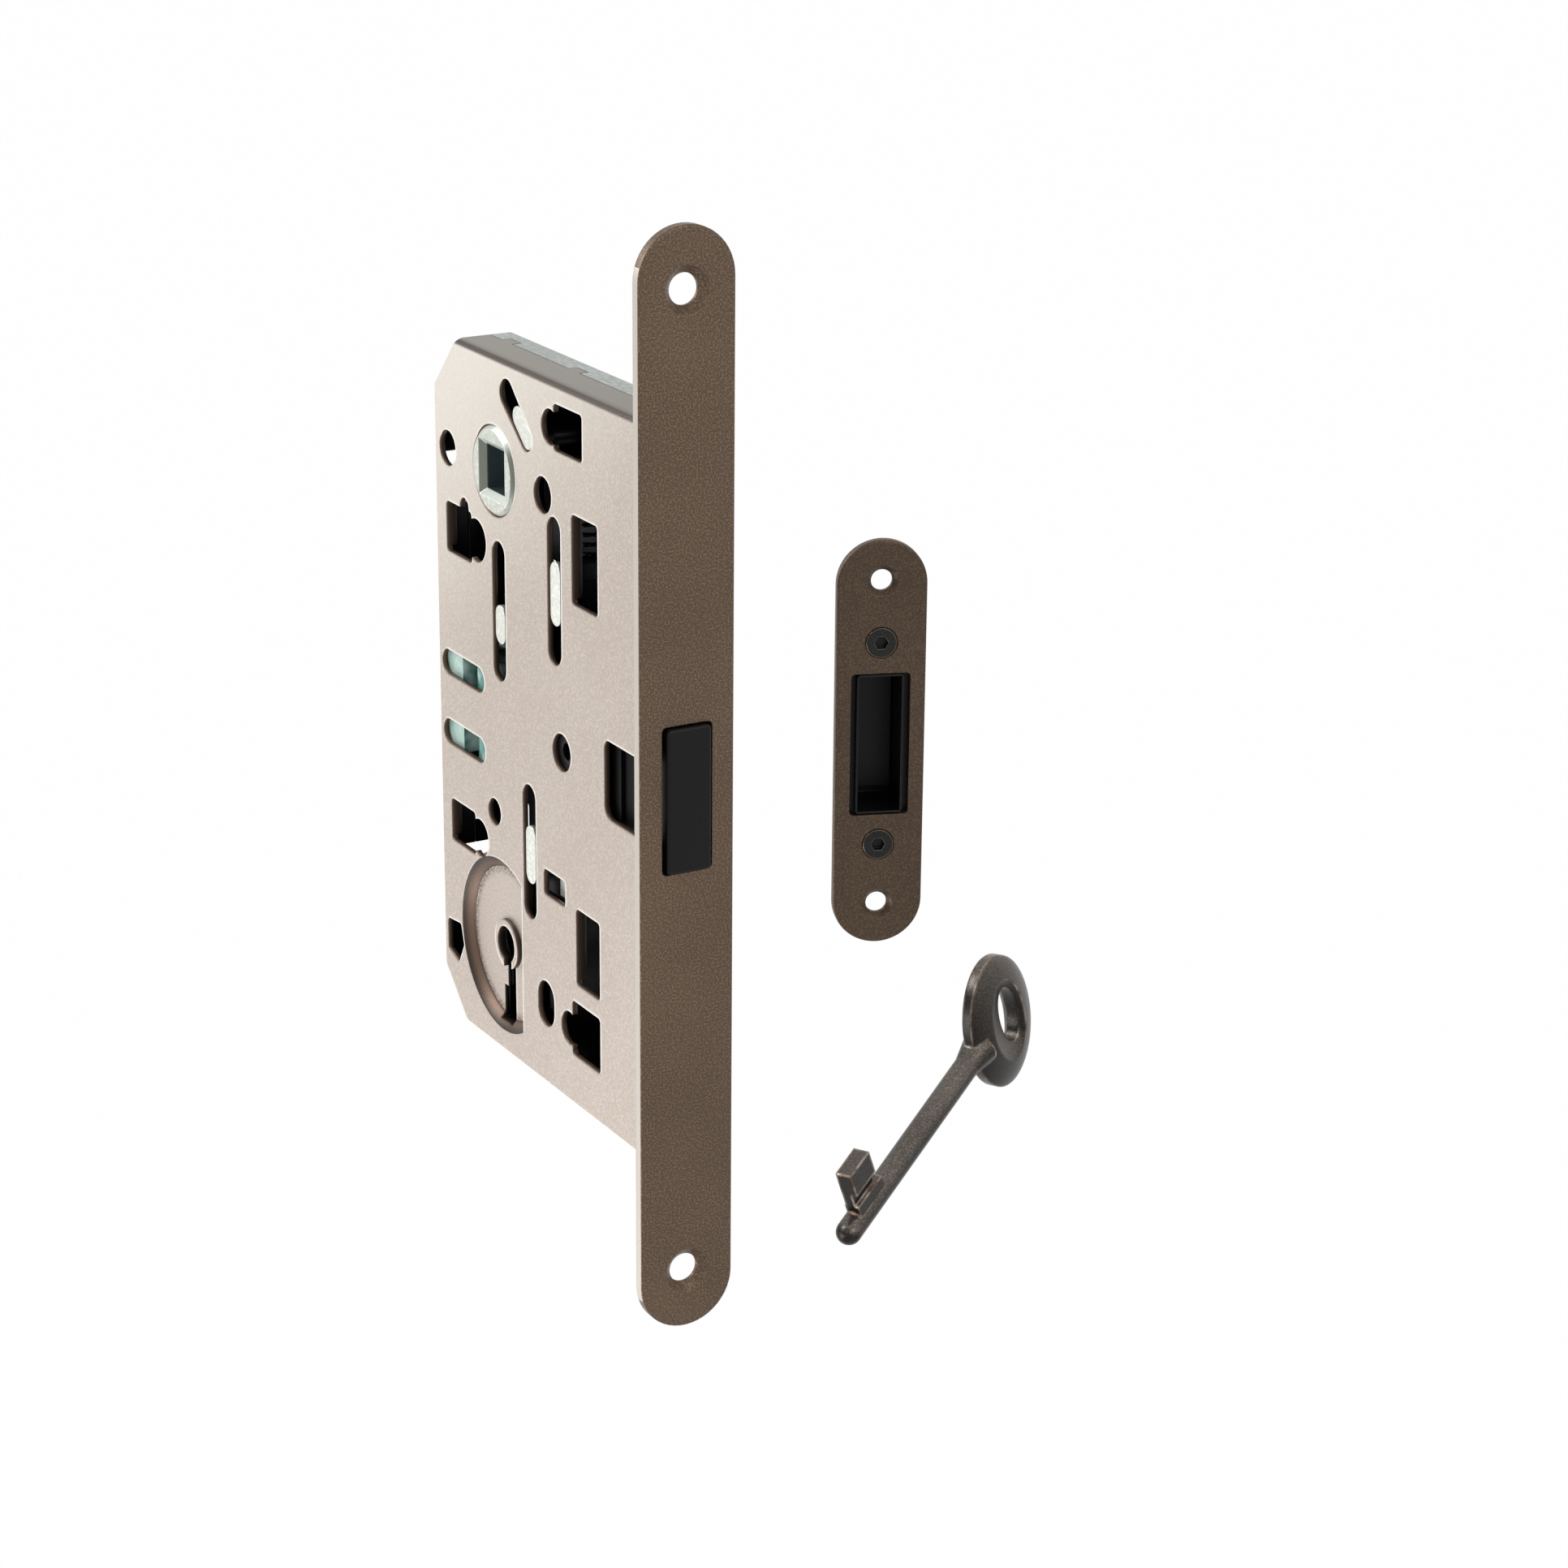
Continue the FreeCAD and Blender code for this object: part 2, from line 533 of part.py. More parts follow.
def key_opening(made, face, near):
    """The hole for the key's shank and bit."""
    shank = sketch(made, "YZ", face, ring("backset", "key_at", "key_hole"))
    bit = sketch(made, "YZ", face, outline(
        ("slot_front", "slot_low"), ("slot_rear", "slot_low"), ("slot_rear", "neck_low"),
        ("neck_rear", "neck_low"), ("neck_rear", "key_at"), ("slot_front", "key_at")))
    for drawn in (shank, bit):
        pocket(made, drawn, "recess_deep + sheet", back=near)


def top_tabs(made, near):
    """Two tabs of the near half's top flange, let into the far half's."""
    slack = "" if near else " + seam_gap"
    less = "" if near else " - seam_gap"
    front = "tab_front"
    rear = "tab_rear"
    loops = [rectangle(f"seam{less}" if near else "seam", f"seam + tab_reach{slack}", f"{at}{less}",
                       f"{at} + tab_wide{slack}") for at in (front, rear)]
    drawn = sketch(made, "XY", "case_top", *loops)
    if near:
        pad(made, drawn, "sheet", back=True)
    else:
        pocket(made, drawn, "sheet")


# Follower: the hub, its journals in both halves, the square hole and two arms

def arm(reach, angle, nose, x):
    """A bar from the hub's axis to a round nose."""
    solid = fuse(box(x, ("0", reach), ("-arm_half", "arm_half")), rod("x", reach, "0", nose, x))
    return place(solid, "0", "backset", "hub_up", V(1, 0, 0), angle)


def make_follower():
    inner = "case_thick / 2 - sheet - sliding"
    out = "case_thick / 2 + hub_proud"
    mid = ("-mid_half", "mid_half")
    journals = rod("x", "backset", "hub_up", "journal", (f"-({out} - hub_chamfer)", f"{out} - hub_chamfer"))
    rims = []
    for turn, side in ((90, 1), (-90, -1)):
        rim = doc.addObject("Part::Cone", "rim")
        bind(rim, "Radius1", "journal")
        bind(rim, "Radius2", "journal - hub_chamfer")
        bind(rim, "Height", "hub_chamfer")
        rim.Placement = FreeCAD.Placement(V(), FreeCAD.Rotation(V(0, 1, 0), turn))
        bind(rim, "Placement.Base.x", f"{side} * ({out} - hub_chamfer)")
        bind(rim, "Placement.Base.y", "backset")
        bind(rim, "Placement.Base.z", "hub_up")
        rims.append(rim)
    solid = fuse(rod("x", "backset", "hub_up", "follower_body", (f"-({inner})", inner)), journals, *rims,
                 arm("lift_reach", "lift_angle", "nose", mid), arm("push_reach", "push_angle", "nose", mid))
    square = box((f"-({out}) - 1", f"{out} + 1"), ("backset - square / 2", "backset + square / 2"),
                 ("hub_up - square / 2", "hub_up + square / 2"))
    mouths = []
    for turn in (90, -90):
        mouth = doc.addObject("Part::Wedge", "mouth")
        for prop, text in (("Xmin", "-square / 2"), ("Xmax", "square / 2"), ("Zmin", "-square / 2"),
                           ("Zmax", "square / 2"), ("Ymin", f"{out} - (square_mouth - square) / 2"),
                           ("Ymax", out), ("X2min", "-square_mouth / 2"), ("X2max", "square_mouth / 2"),
                           ("Z2min", "-square_mouth / 2"), ("Z2max", "square_mouth / 2")):
            bind(mouth, prop, text)
        mouth.Placement = FreeCAD.Placement(V(), FreeCAD.Rotation(V(0, 0, 1), turn))
        bind(mouth, "Placement.Base.y", "backset")
        bind(mouth, "Placement.Base.z", "hub_up")
        mouths.append(mouth)
    return named(cut(solid, square, *mouths), "follower")


# Transfer slide: the follower lifts its shelf, and its fork lifts the latch crank

def make_transfer_slide():
    near = ("near_layer", "near_layer + plate")
    post = ("-case_thick / 2 + pill_face", "case_thick / 2 - pill_face")
    nose_up = f"hub_up + lift_reach * {math.sin(math.radians(SIZES['lift_angle'])):.4f}"
    shelf_low = f"{nose_up} + nose + air"
    shelf = box(("near_layer", "mid_half"), ("shelf_front", "shelf_rear"),
                (shelf_low, f"{shelf_low} + shelf_thick"))
    column = box(near, ("shelf_front", "shelf_front + column_wide"), ("foot_low", f"{shelf_low} + nose"))
    foot = box(near, ("foot_front", "foot_rear"), ("foot_low", "foot_top"))
    side = box(near, ("foot_front", "c2_back + slot_half"), ("foot_low", "c2_up + c2_half"))
    seat = box(("near_layer", "spring_half"), ("spring_back - spring_half", "c2_back + pill_half"),
               ("c2_up + c2_half - shelf_thick", "c2_up + c2_half"))
    tilt = math.radians(SIZES["crank_tilt"])
    nose_z = f"crank_up - crank_arm * {math.sin(tilt):.4f}"
    fork = box(("near_layer - 1", "near_layer + plate + 1"),
               (f"crank_back + crank_arm * {math.cos(tilt):.4f} - crank_nose - loose",
                "crank_back + crank_arm + crank_nose + loose"),
               (f"{nose_z} - crank_nose - air", f"{nose_z} + crank_nose + air"))
    solid = fuse(shelf, column, foot, side, seat,
                 pill("c1_back", "c1_up", "c1_half", "pill_half", post),
                 pill("c2_back", "c2_up", "c2_half", "pill_half", post))
    return named(cut(solid, fork), "transfer_slide")


# Return slider: the follower's upper arm pushes it up the slanted slot

def make_return_slider():
    near = ("near_layer", "near_layer + plate")
    post = ("-case_thick / 2 + pill_face", "case_thick / 2 - pill_face")
    run = math.radians(SIZES["slider_angle"])
    push = math.radians(SIZES["push_angle"])
    nose_y = f"(backset + push_reach * {math.cos(push):.4f})"
    nose_z = f"(hub_up + push_reach * {math.sin(push):.4f})"
    plate = fuse(box(near, ("slider_plate_wide - slider_plate_half", "slider_plate_half - slider_plate_wide"),
                     ("-slider_plate_wide", "slider_plate_wide")),
                 rod("x", "slider_plate_half - slider_plate_wide", "0", "slider_plate_wide", near),
                 rod("x", "slider_plate_wide - slider_plate_half", "0", "slider_plate_wide", near))
    place(plate, "0", "slider_back", "slider_up", V(1, 0, 0), "slider_angle")
    along = f"((slider_back - {nose_y}) * {math.cos(run):.4f} + (slider_up - {nose_z}) * {math.sin(run):.4f})"
    aside = f"((slider_up - {nose_z}) * {math.cos(run):.4f} - (slider_back - {nose_y}) * {math.sin(run):.4f})"
    lug = fuse(box(("near_layer", "mid_half"), (f"nose + air - {along}", f"nose + air + plate * 2 - {along}"),
                   (f"-{aside} - nose / 3", "slider_plate_wide / 4")),
               box(near, ("-plate", "plate"), ("-plate", "plate")))
    place(lug, "0", "slider_back", "slider_up", V(1, 0, 0), "slider_angle")
    post = pill("slider_back", "slider_up", "slider_half", "pill_half", post, "slider_angle - 90")
    return named(fuse(plate, lug, post), "return_slider")


# Latch bolt: a plastic block with a window for its armature, a driven tail and a notched comb

def make_latch():
    made = body("latch_bolt")
    low = "latch_up - latch_tall / 2"
    top = "latch_up + latch_tall / 2"
    front = "-latch_proud"
    rear = f"({front} + latch_deep)"
    block = sketch(made, "XZ", "latch_proud", rectangle("-latch_wide / 2", "latch_wide / 2", low, top,
                                                        "latch_corner"))
    pad(made, block, "latch_deep", back=True)
    dress(made, "Fillet", "latch_edge", lambda e: flat_at(e, "Y", value(front)))
    tilt = math.radians(SIZES["crank_tilt"])
    reach = f"crank_finger * {math.sin(tilt):.4f}"
    depth = f"crank_finger * {math.cos(tilt):.4f}"
    slot_loop = rectangle(f"crank_back - {reach} - finger - loose", f"crank_back + {reach} + finger + loose",
                          "crank_up - crank_finger - finger - loose", f"crank_up - {depth} + finger + loose")
    tail = outline((f"{rear} - 1", "tail_low"), ("tail_rear", "tail_low"), ("tail_rear", "tail_top"),
                   ("lug_back + lug_thick", "tail_top"), ("lug_back + lug_thick", "lug_top"),
                   ("lug_back", "lug_top"), ("lug_back", "tail_top"), (f"{rear} - 1", "tail_top"))
    pad(made, sketch(made, "YZ", "-mid_half", tail, slot_loop), "mid_half * 2")
    gap = "(tongue_half + loose)"
    second = "tongue_back + latch_travel"
    comb = outline((f"{rear} - 1", "comb_low"), (f"tongue_back - {gap}", "comb_low"),
                   (f"tongue_back - {gap}", "comb_low + notch_deep"),
                   (f"tongue_back + {gap}", "comb_low + notch_deep"), (f"tongue_back + {gap}", "comb_low"),
                   (f"{second} - {gap}", "comb_low"), (f"{second} - {gap}", "comb_low + notch_deep"),
                   (f"{second} + {gap}", "comb_low + notch_deep"), (f"{second} + {gap}", "comb_low"),
                   ("comb_rear", "comb_low"), ("comb_rear", "comb_top"), (f"{rear} - 1", "comb_top"))
    pad(made, sketch(made, "YZ", "-mid_half", comb), "mid_half * 2")
    bed = rectangle("armature_front", "armature_rear", "armature_low", "armature_top")
    pocket(made, sketch(made, "YZ", "-latch_wide / 2", bed), "armature_deep", back=True)
    named(made, "latch_bolt")
    floor = "-latch_wide / 2 + armature_deep"
    named(box((f"{floor} - armature_thick", floor), ("armature_front", "armature_rear"),
              ("armature_low", "armature_top")), "latch_armature")


# Latch guide: rails above and below the latch, a rear wall for the tails, and a boss

def make_latch_guide():
    wide = ("sheet - case_thick / 2", "case_thick / 2 - sheet")
    low = "latch_up - latch_tall / 2 - sliding"
    top = "latch_up + latch_tall / 2 + sliding"
    through = ("-mid_half - loose", "mid_half + loose")
    wall_front = "guide_rear - guide_wall"
    solid = fuse(box(wide, ("forend_thick", "guide_rear"), (top, f"{top} + rail")),
                 box(wide, ("forend_thick", "guide_rear"), (f"{low} - rail", low)),
                 box(wide, (wall_front, "guide_rear"), (f"{low} - rail", f"{top} + rail")),
                 box(wide, ("guide_rear - 1", "boss_back"), ("boss_up - boss * 0.8", "boss_up + boss * 0.8")),
                 rod("x", "boss_back", "boss_up", "boss", wide))
    past = (f"{wall_front} - 1", "guide_rear + 1")
    return named(cut(solid, box(through, past, ("tail_low - loose", "tail_top + loose")),
                     box(through, past, ("comb_low - loose", "comb_top + loose")),
                     rod("x", "boss_back", "boss_up", "boss_bore", wide)), "latch_guide")


# Latch crank and the pin that it turns on

def make_crank():
    wide = ("far_layer", "far_layer + far_plate")
    finger_x = ("sliding - mid_half", "far_layer + far_plate")
    nose_x = ("near_layer - sliding", "far_layer + far_plate")
    boss = rod("x", "0", "0", "crank_boss", wide)
    arm_bar = box(wide, ("0", "crank_arm"), ("-crank_nose", "crank_nose"))
    finger_bar = box(wide, ("-crank_nose", "crank_nose"), ("-crank_finger", "0"))
    solid = fuse(boss, arm_bar, finger_bar, rod("x", "crank_arm", "0", "crank_nose", nose_x),
                 rod("x", "0", "-crank_finger", "finger", finger_x))
    crank = cut(solid, rod("x", "0", "0", "crank_pin + running", wide))
    place(crank, "0", "crank_back", "crank_up", V(1, 0, 0), "-crank_tilt")
    named(crank, "latch_crank")
    head = ("far_layer - sheet", "far_layer - sliding")
    pin = fuse(rod("x", "crank_back", "crank_up", "crank_pin", (head[0], "case_thick / 2 - sheet")),
               rod("x", "crank_back", "crank_up", "pin_head", head))
    named(pin, "crank_pin")


# Lock slide: the key's bit lifts its talon, and its tongue enters the latch's comb

def make_lock_slide():
    near = ("near_layer", "near_layer + plate")
    post = ("-case_thick / 2 + pill_face", "case_thick / 2 - pill_face")
    plate = box(near, ("lock_front", "lock_rear"), ("lock_low", "lock_top"))
    tongue = box(("near_layer", "mid_half"), ("tongue_back - tongue_half", "tongue_back + tongue_half"),
                 ("lock_top - lock_travel", "tongue_top"))
    talon = box(("near_layer", "mid_half"), ("talon_front", "lock_rear"), ("talon_low", "lock_low + plate"))
    return named(fuse(plate, tongue, talon, pill("c3_back", "c3_up", "c3_half", "pill_half", post)),
                 "lock_slide")


# Leaf springs, bent strips of one thickness

def leaf(label, x, width, path):
    """A strip whose outline, both faces in turn, is a list of (back, up) points."""
    made = body(label)
    pad(made, sketch(made, "YZ", x, outline(*path)), width)
    return named(made, label)


def make_leaf_springs():
    roof = "case_top - sheet"
    end_back = "(slider_back + return_tip_back)"
    end_up = "(slider_up + return_tip_up)"
    knee = "backset + return_bend"
    clamp = "backset + return_clamp"
    leaf("return_spring", "-mid_half", "mid_half * 2",
         [(clamp, roof), (knee, roof), (end_back, end_up),
          (f"{end_back} + leaf", f"{end_up} - leaf / 2"), (f"{knee} + leaf", f"{roof} - leaf"),
          (clamp, f"{roof} - leaf")])
    low = "(latch_up - latch_tall / 2 - sliding - rail)"
    leaf("detent_spring", "near_layer", "plate",
         [("guide_rear", f"{low} + detent_clamp"), ("guide_rear", low),
          ("lock_front - air - leaf", f"{low} - detent_knee"),
          ("lock_front - detent_set - leaf", f"{low} - detent_long"),
          ("lock_front - detent_set", f"{low} - detent_long"),
          ("lock_front - air", f"{low} - detent_knee"), ("guide_rear + leaf", f"{low} + leaf / 4"),
          ("guide_rear + leaf", f"{low} + detent_clamp")])


# Coil springs, each one unbroken tube on pairs of tangent arcs

def bulge(start, knee, end):
    """The middle of the arc from start to end whose end tangents meet at the knee."""
    half = (end - start).Length / 2
    middle = (start + end) * 0.5
    rise = (knee - middle).Length
    sagitta = half * math.tan(math.atan2(rise, half) / 2)
    return middle + (knee - middle).normalize() * sagitta


def biarc(p, tangent_p, q, tangent_q):
    """Two arcs that join two points with given unit tangents."""
    chord = q - p
    both = tangent_p + tangent_q
    dot = chord.dot(both)
    scale = 2 * (1 - tangent_p.dot(tangent_q))
    reach = (math.sqrt(dot * dot + scale * chord.dot(chord)) - dot) / scale
    knee_p = p + tangent_p * reach
    knee_q = q - tangent_q * reach
    joint = (knee_p + knee_q) * 0.5
    return [Part.Arc(p, bulge(p, knee_p, joint), joint).toShape(),
            Part.Arc(joint, bulge(joint, knee_q, q), q).toShape()]


def coil(label, radius, wire, long, turns, spot, rotation):
    """A compression spring that climbs +Z from the origin and is then placed."""
    middle = radius - wire / 2
    rise = (long - wire) / turns
    steps = int(round(turns * 4))
    angles = [math.pi / 2 * n for n in range(steps + 1)]
    points = [V(middle * math.cos(a), middle * math.sin(a), wire / 2 + rise * a / (2 * math.pi))
              for a in angles]
    tangents = [V(-middle * math.sin(a), middle * math.cos(a), rise / (2 * math.pi)).normalize()
                for a in angles]
    edges = []
    for n in range(steps):
        edges += biarc(points[n], tangents[n], points[n + 1], tangents[n + 1])
    path = Part.Wire(edges)
    section = Part.Wire(Part.Circle(points[0], tangents[0], wire / 2).toShape())
    made = doc.addObject("Part::Feature", label)
    made.Shape = path.makePipeShell([section], True, False)
    made.Placement = FreeCAD.Placement(spot, rotation)
    print(f"{label}: gap between turns {rise - wire:.2f} mm, least wanted 0.40 mm")
    return named(made, label)


def make_coils():
    seat = value("c2_up + c2_half + running")
    coil("transfer_spring", value("spring_half"), value("spring_wire"), value("seat_up - running") - seat,
         value("spring_turns"), V(0, value("spring_back"), seat), FreeCAD.Rotation())
    start = value("guide_rear + running")
    coil("latch_spring", value("latch_spring_half"), value("latch_spring_wire"),
         value("lug_back - running") - start, value("latch_spring_turns"),
         V(0, start, value("latch_spring_up")), FreeCAD.Rotation(V(1, 0, 0), -90))


# Damper block: teal plastic columns behind the two rear slots

def make_damper():
    inner = "case_thick / 2 - sheet"
    span = ("damper_low", "damper_top")
    centre = "damper_front + damper_round"
    column = rod("z", "0", centre, "damper_round", span)
    stop = box((f"-({inner})", inner), ("damper_flat", "case_rear - sheet"), span)
    web = box(("-damper_web", "damper_web"), (centre, "damper_flat + damper_web"), span)
    return named(fuse(column, stop, web), "damper_block")


# Strike, drawn in its own frame and then placed

def set_strike(thing, label):
    """Turn and move a strike piece to where it stands."""
    return named(place(thing, "strike_across", "strike_back", "strike_up", V(0, 0, 1), "strike_yaw"), label)


def make_strike():
    mouth = rectangle("-strike_mouth_wide / 2", "strike_mouth_wide / 2", "-strike_mouth_tall / 2",
                      "strike_mouth_tall / 2", "mouth_corner")
    plate = flat_bar("strike_plate", "strike_wide", "strike_long", "strike_thick", "strike_edge", mouth,
                     ["strike_holes", "clamp_screws"], "strike_hole", "strike_sink")
    wells = []
    screws = []
    nuts = []
    for sign in ("", "-"):
        up = f"{sign}clamp_screws / 2"
        wells.append(cone(up, "screw_recess", "strike_hole - loose", "screw_recess - strike_hole + loose"))
        head = cone(up, "screw_head", "screw_shank", "screw_head_deep")
        shank = rod("y", "0", up, "screw_shank", ("screw_head_deep / 2", "screw_long"))
        socket = doc.addObject("Part::Prism", "socket")
        socket.Polygon = 6
        bind(socket, "Circumradius", "socket / 1.732")
        bind(socket, "Height", "socket_deep + 1")
        socket.Placement = FreeCAD.Placement(V(), FreeCAD.Rotation(V(1, 0, 0), -90))
        bind(socket, "Placement.Base.y", "-1")
        bind(socket, "Placement.Base.z", up)
        screws.append(cut(fuse(head, shank), socket))
        behind = "strike_thick + box_flange + running * 2"
        block = box(("-nut_side / 2", "nut_side / 2"), (behind, f"{behind} + nut_thick"),
                    (f"{up} - nut_side / 2", f"{up} + nut_side / 2"))
        nuts.append(cut(block, rod("y", "0", up, "screw_shank + running", (f"{behind} - 1",
                                                                         f"{behind} + nut_thick + 1"))))
    set_strike(cut(plate, *wells), "strike_plate")
    set_strike(fuse(*screws), "strike_screws")
    set_strike(fuse(*nuts), "strike_nuts")
    make_strike_box()


def cone(up, wide, narrow, deep):
    """A sunk head or its seat, opening toward the front face."""
    made = doc.addObject("Part::Cone", "sunk")
    bind(made, "Radius1", wide)
    bind(made, "Radius2", narrow)
    bind(made, "Height", deep)
    made.Placement = FreeCAD.Placement(V(), FreeCAD.Rotation(V(1, 0, 0), -90))
    bind(made, "Placement.Base.z", up)
    return made


def make_strike_box():
    half = "box_wide / 2"
    tall = "box_tall / 2"
    inner = f"({half} - box_wall)"
    inner_tall = f"({tall} - box_wall)"
    made = body("box_shell")
    face = "-box_face"
    outer = rectangle(f"-{half}", half, f"-{tall}", tall, "box_corner")
    pad(made, sketch(made, "XZ", face, outer), "box_deep - box_face", back=True)
    flange = rectangle("-box_flange_wide", "box_flange_wide", "-box_flange_half", "box_flange_half",
                       "box_corner")
    pad(made, sketch(made, "XZ", "-strike_thick - running", flange), "box_flange", back=True)
    pocket(made, sketch(made, "XZ", face, rectangle(f"-{inner}", inner, f"-{inner_tall}", inner_tall)),
           "box_deep - box_face - box_floor")
    travel = "strike_shift"
    slots = [slot(f"-{travel}", f"{s}clamp_screws / 2", "screw_shank + loose", travel,
                  f"{s}clamp_screws / 2") for s in ("", "-")]
    pocket(made, sketch(made, "XZ", "-strike_thick", *slots), "box_flange + 1")
    set_strike(made, "strike_box")
    magnet = body("magnet_block")
    side = rectangle("-magnet_wide / 2", "magnet_wide / 2", "-magnet_tall / 2", "magnet_tall / 2")
    pad(magnet, sketch(magnet, "XZ", "box_floor + magnet_thick - box_deep", side), "magnet_thick", back=True)
    set_strike(magnet, "strike_magnet")


# Key, drawn along its own axis: +X to the tip, +Z the way the bit points

def ellipse(half_x, half_z, level, back="bow_back"):
    """An ellipse across the bow at a level through its thickness, so far back from the key's tip."""
    made = doc.addObject("Part::Ellipse", "oval")
    bind(made, "MajorRadius", half_z)
    bind(made, "MinorRadius", half_x)
    turn = FreeCAD.Rotation(V(0, 0, 1), V(0, 1, 0)) * FreeCAD.Rotation(V(0, 0, 1), 90)
    made.Placement = FreeCAD.Placement(V(), turn)
    bind(made, "Placement.Base.y", level)
    bind(made, "Placement.Base.x", f"-{back}")
    bind(made, "Placement.Base.z", "bow_up")
    return made


def prism(*ovals):
    """A solid through ovals."""
    made = doc.addObject("Part::Loft", "prism")
    made.Sections = list(ovals)
    made.Solid = True
    made.Ruled = True
    return made


def make_key():
    swell = doc.addObject("Part::Ellipsoid", "swell")
    bind(swell, "Radius1", "bow_half_tall * swell_ratio")
    bind(swell, "Radius2", "bow_half_wide * swell_ratio")
    bind(swell, "Radius3", "bow_swell")
    bind(swell, "Placement.Base.x", "-bow_back")
    bind(swell, "Placement.Base.z", "bow_up")
    bow = doc.addObject("Part::Common", "bow")
    bow.Base = swell
    bow.Tool = prism(ellipse("bow_half_wide", "bow_half_tall", "-bow_swell - 1"),
                     ellipse("bow_half_wide", "bow_half_tall", "bow_swell + 1"))
    eye = prism(ellipse("eye_half_wide", "eye_half_tall", "-bow_swell - 1", "eye_back"),
                ellipse("eye_half_wide", "eye_half_tall", "bow_swell + 1", "eye_back"))
    dishes = []
    for sign in ("", "-"):
        dishes.append(prism(ellipse("eye_half_wide", "eye_half_tall", f"{sign}eye_land", "eye_back"),
                            ellipse("ridge_half_wide", "ridge_half_tall", f"{sign}(bow_swell + 0.1)")))
    ring_part = cut(bow, eye, *dishes)
    shank = rod("x", "0", "0", "key_shank", ("-key_long - shank_tuck", "0"))
    tip = doc.addObject("Part::Sphere", "tip")
    bind(tip, "Radius", "key_shank")
    flare = doc.addObject("Part::Cone", "flare")
    bind(flare, "Radius1", "neck")
    bind(flare, "Radius2", "key_shank")
    bind(flare, "Height", "neck_long")
    flare.Placement = FreeCAD.Placement(V(), FreeCAD.Rotation(V(0, 1, 0), 90))
    bind(flare, "Placement.Base.x", "-key_long - shank_tuck")
    web = box(("-bit_start - bit_long", "-bit_start"), ("-web / 2", "web / 2"),
              ("0", "bit_foot + foot_step / 2"))
    bit = box(("-bit_start - bit_long", "-bit_start"), ("-web / 2", "bit_thick - web / 2"),
              ("bit_foot", "bit_reach"))
    foot = box(("-bit_start - web_long", "-bit_start"), ("-web / 2 - foot_step / 4", "web / 2 + foot_step"),
               ("0", "key_shank + foot_high"))
    axis = V(value("key_axis_x"), value("key_axis_y"), value("key_axis_z"))
    whole = fuse(ring_part, shank, tip, flare, web, bit, foot)
    return named(place(whole, "key_across", "key_back", "key_up", axis, "key_turn"), "key")


make_forend()
case_half("case_cover", True)
case_half("case_body", False)
make_follower()
make_transfer_slide()
make_return_slider()
make_latch()
make_latch_guide()
make_crank()
make_lock_slide()
make_leaf_springs()
make_coils()
make_damper()
make_strike()
make_key()
doc.recompute()

for thing in doc.Objects:
    if "Invalid" in thing.State or "Error" in thing.State:
        raise ValueError(f"{thing.Label} is {thing.State}")
os.makedirs("parts", exist_ok=True)
for piece in pieces:
    shape = piece.Shape
    if shape.isNull() or not shape.isValid() or shape.Volume <= 0:
        raise ValueError(f"{piece.Label} has no sound solid")
    print(f"{piece.Label}: {len(shape.Solids)} solids, {shape.Volume:.1f} mm3")
    shape.exportStep(f"parts/{piece.Label}.step")
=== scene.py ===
"""Looks of the magnetic sashlock with its strike and key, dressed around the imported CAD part.

Metres. -Y is out of the door edge, +Z up, and the near side of the case faces -X.
"""

import bpy
from mathutils import Matrix, Vector

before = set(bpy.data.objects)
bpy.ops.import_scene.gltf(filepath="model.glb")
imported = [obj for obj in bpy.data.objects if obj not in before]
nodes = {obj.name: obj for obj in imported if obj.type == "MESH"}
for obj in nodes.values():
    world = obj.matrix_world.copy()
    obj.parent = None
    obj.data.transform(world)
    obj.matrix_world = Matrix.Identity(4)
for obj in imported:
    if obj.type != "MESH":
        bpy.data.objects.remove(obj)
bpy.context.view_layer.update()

# Camera: a long lens to the left of the door's edge and above it, as the photograph was taken.
# The axes are the picture's right, up and the way back to the camera.
PICTURE = 1932
LENS_PIXELS = 4683.2
SENSOR = 36.0
NEAREST = 0.01
RIGHT = (0.8645, -0.5025, 0.0090)
UP = (0.1569, 0.2868, 0.9451)
BACK = (-0.4775, -0.8156, 0.3268)
EYE = (-0.29111, -0.52944, 0.21225)

lens = bpy.data.cameras.new("camera")
lens.sensor_width = SENSOR
lens.lens = LENS_PIXELS * SENSOR / PICTURE
lens.clip_start = NEAREST
camera = bpy.data.objects.new("camera", lens)
camera.matrix_world = Matrix([[RIGHT[n], UP[n], BACK[n], EYE[n]] for n in range(3)] + [[0, 0, 0, 1]])
bpy.context.scene.collection.objects.link(camera)
bpy.context.scene.camera = camera

# Studio: white all round where the camera or a gloss looks, above a plain pale floor. One lamp lights the
# near side of the case from above, a weaker one from below, and a broad one stands before the door's edge.
SURROUND = 0.55
FLOOR_DROP = -0.42
FLOOR_HALF = 9.0
FLOOR_GREY = (0.9, 0.9, 0.9, 1.0)
FLOOR_GLOW = 0.99
WHITE = (1.0, 1.0, 1.0, 1.0)
LAMPS = {
    "side_lamp": {"at": (-0.42, 0.36, 0.36), "size": 0.35, "power": 3.4},
    "low_lamp": {"at": (-0.36, 0.16, -0.34), "size": 0.3, "power": 1.7},
    "front_lamp": {"at": (0.25, -1.0, 0.55), "size": 0.7, "power": 4.0},
}


def wire(tree, source, target):
    """Join an output socket to an input socket."""
    tree.links.new(source, target)


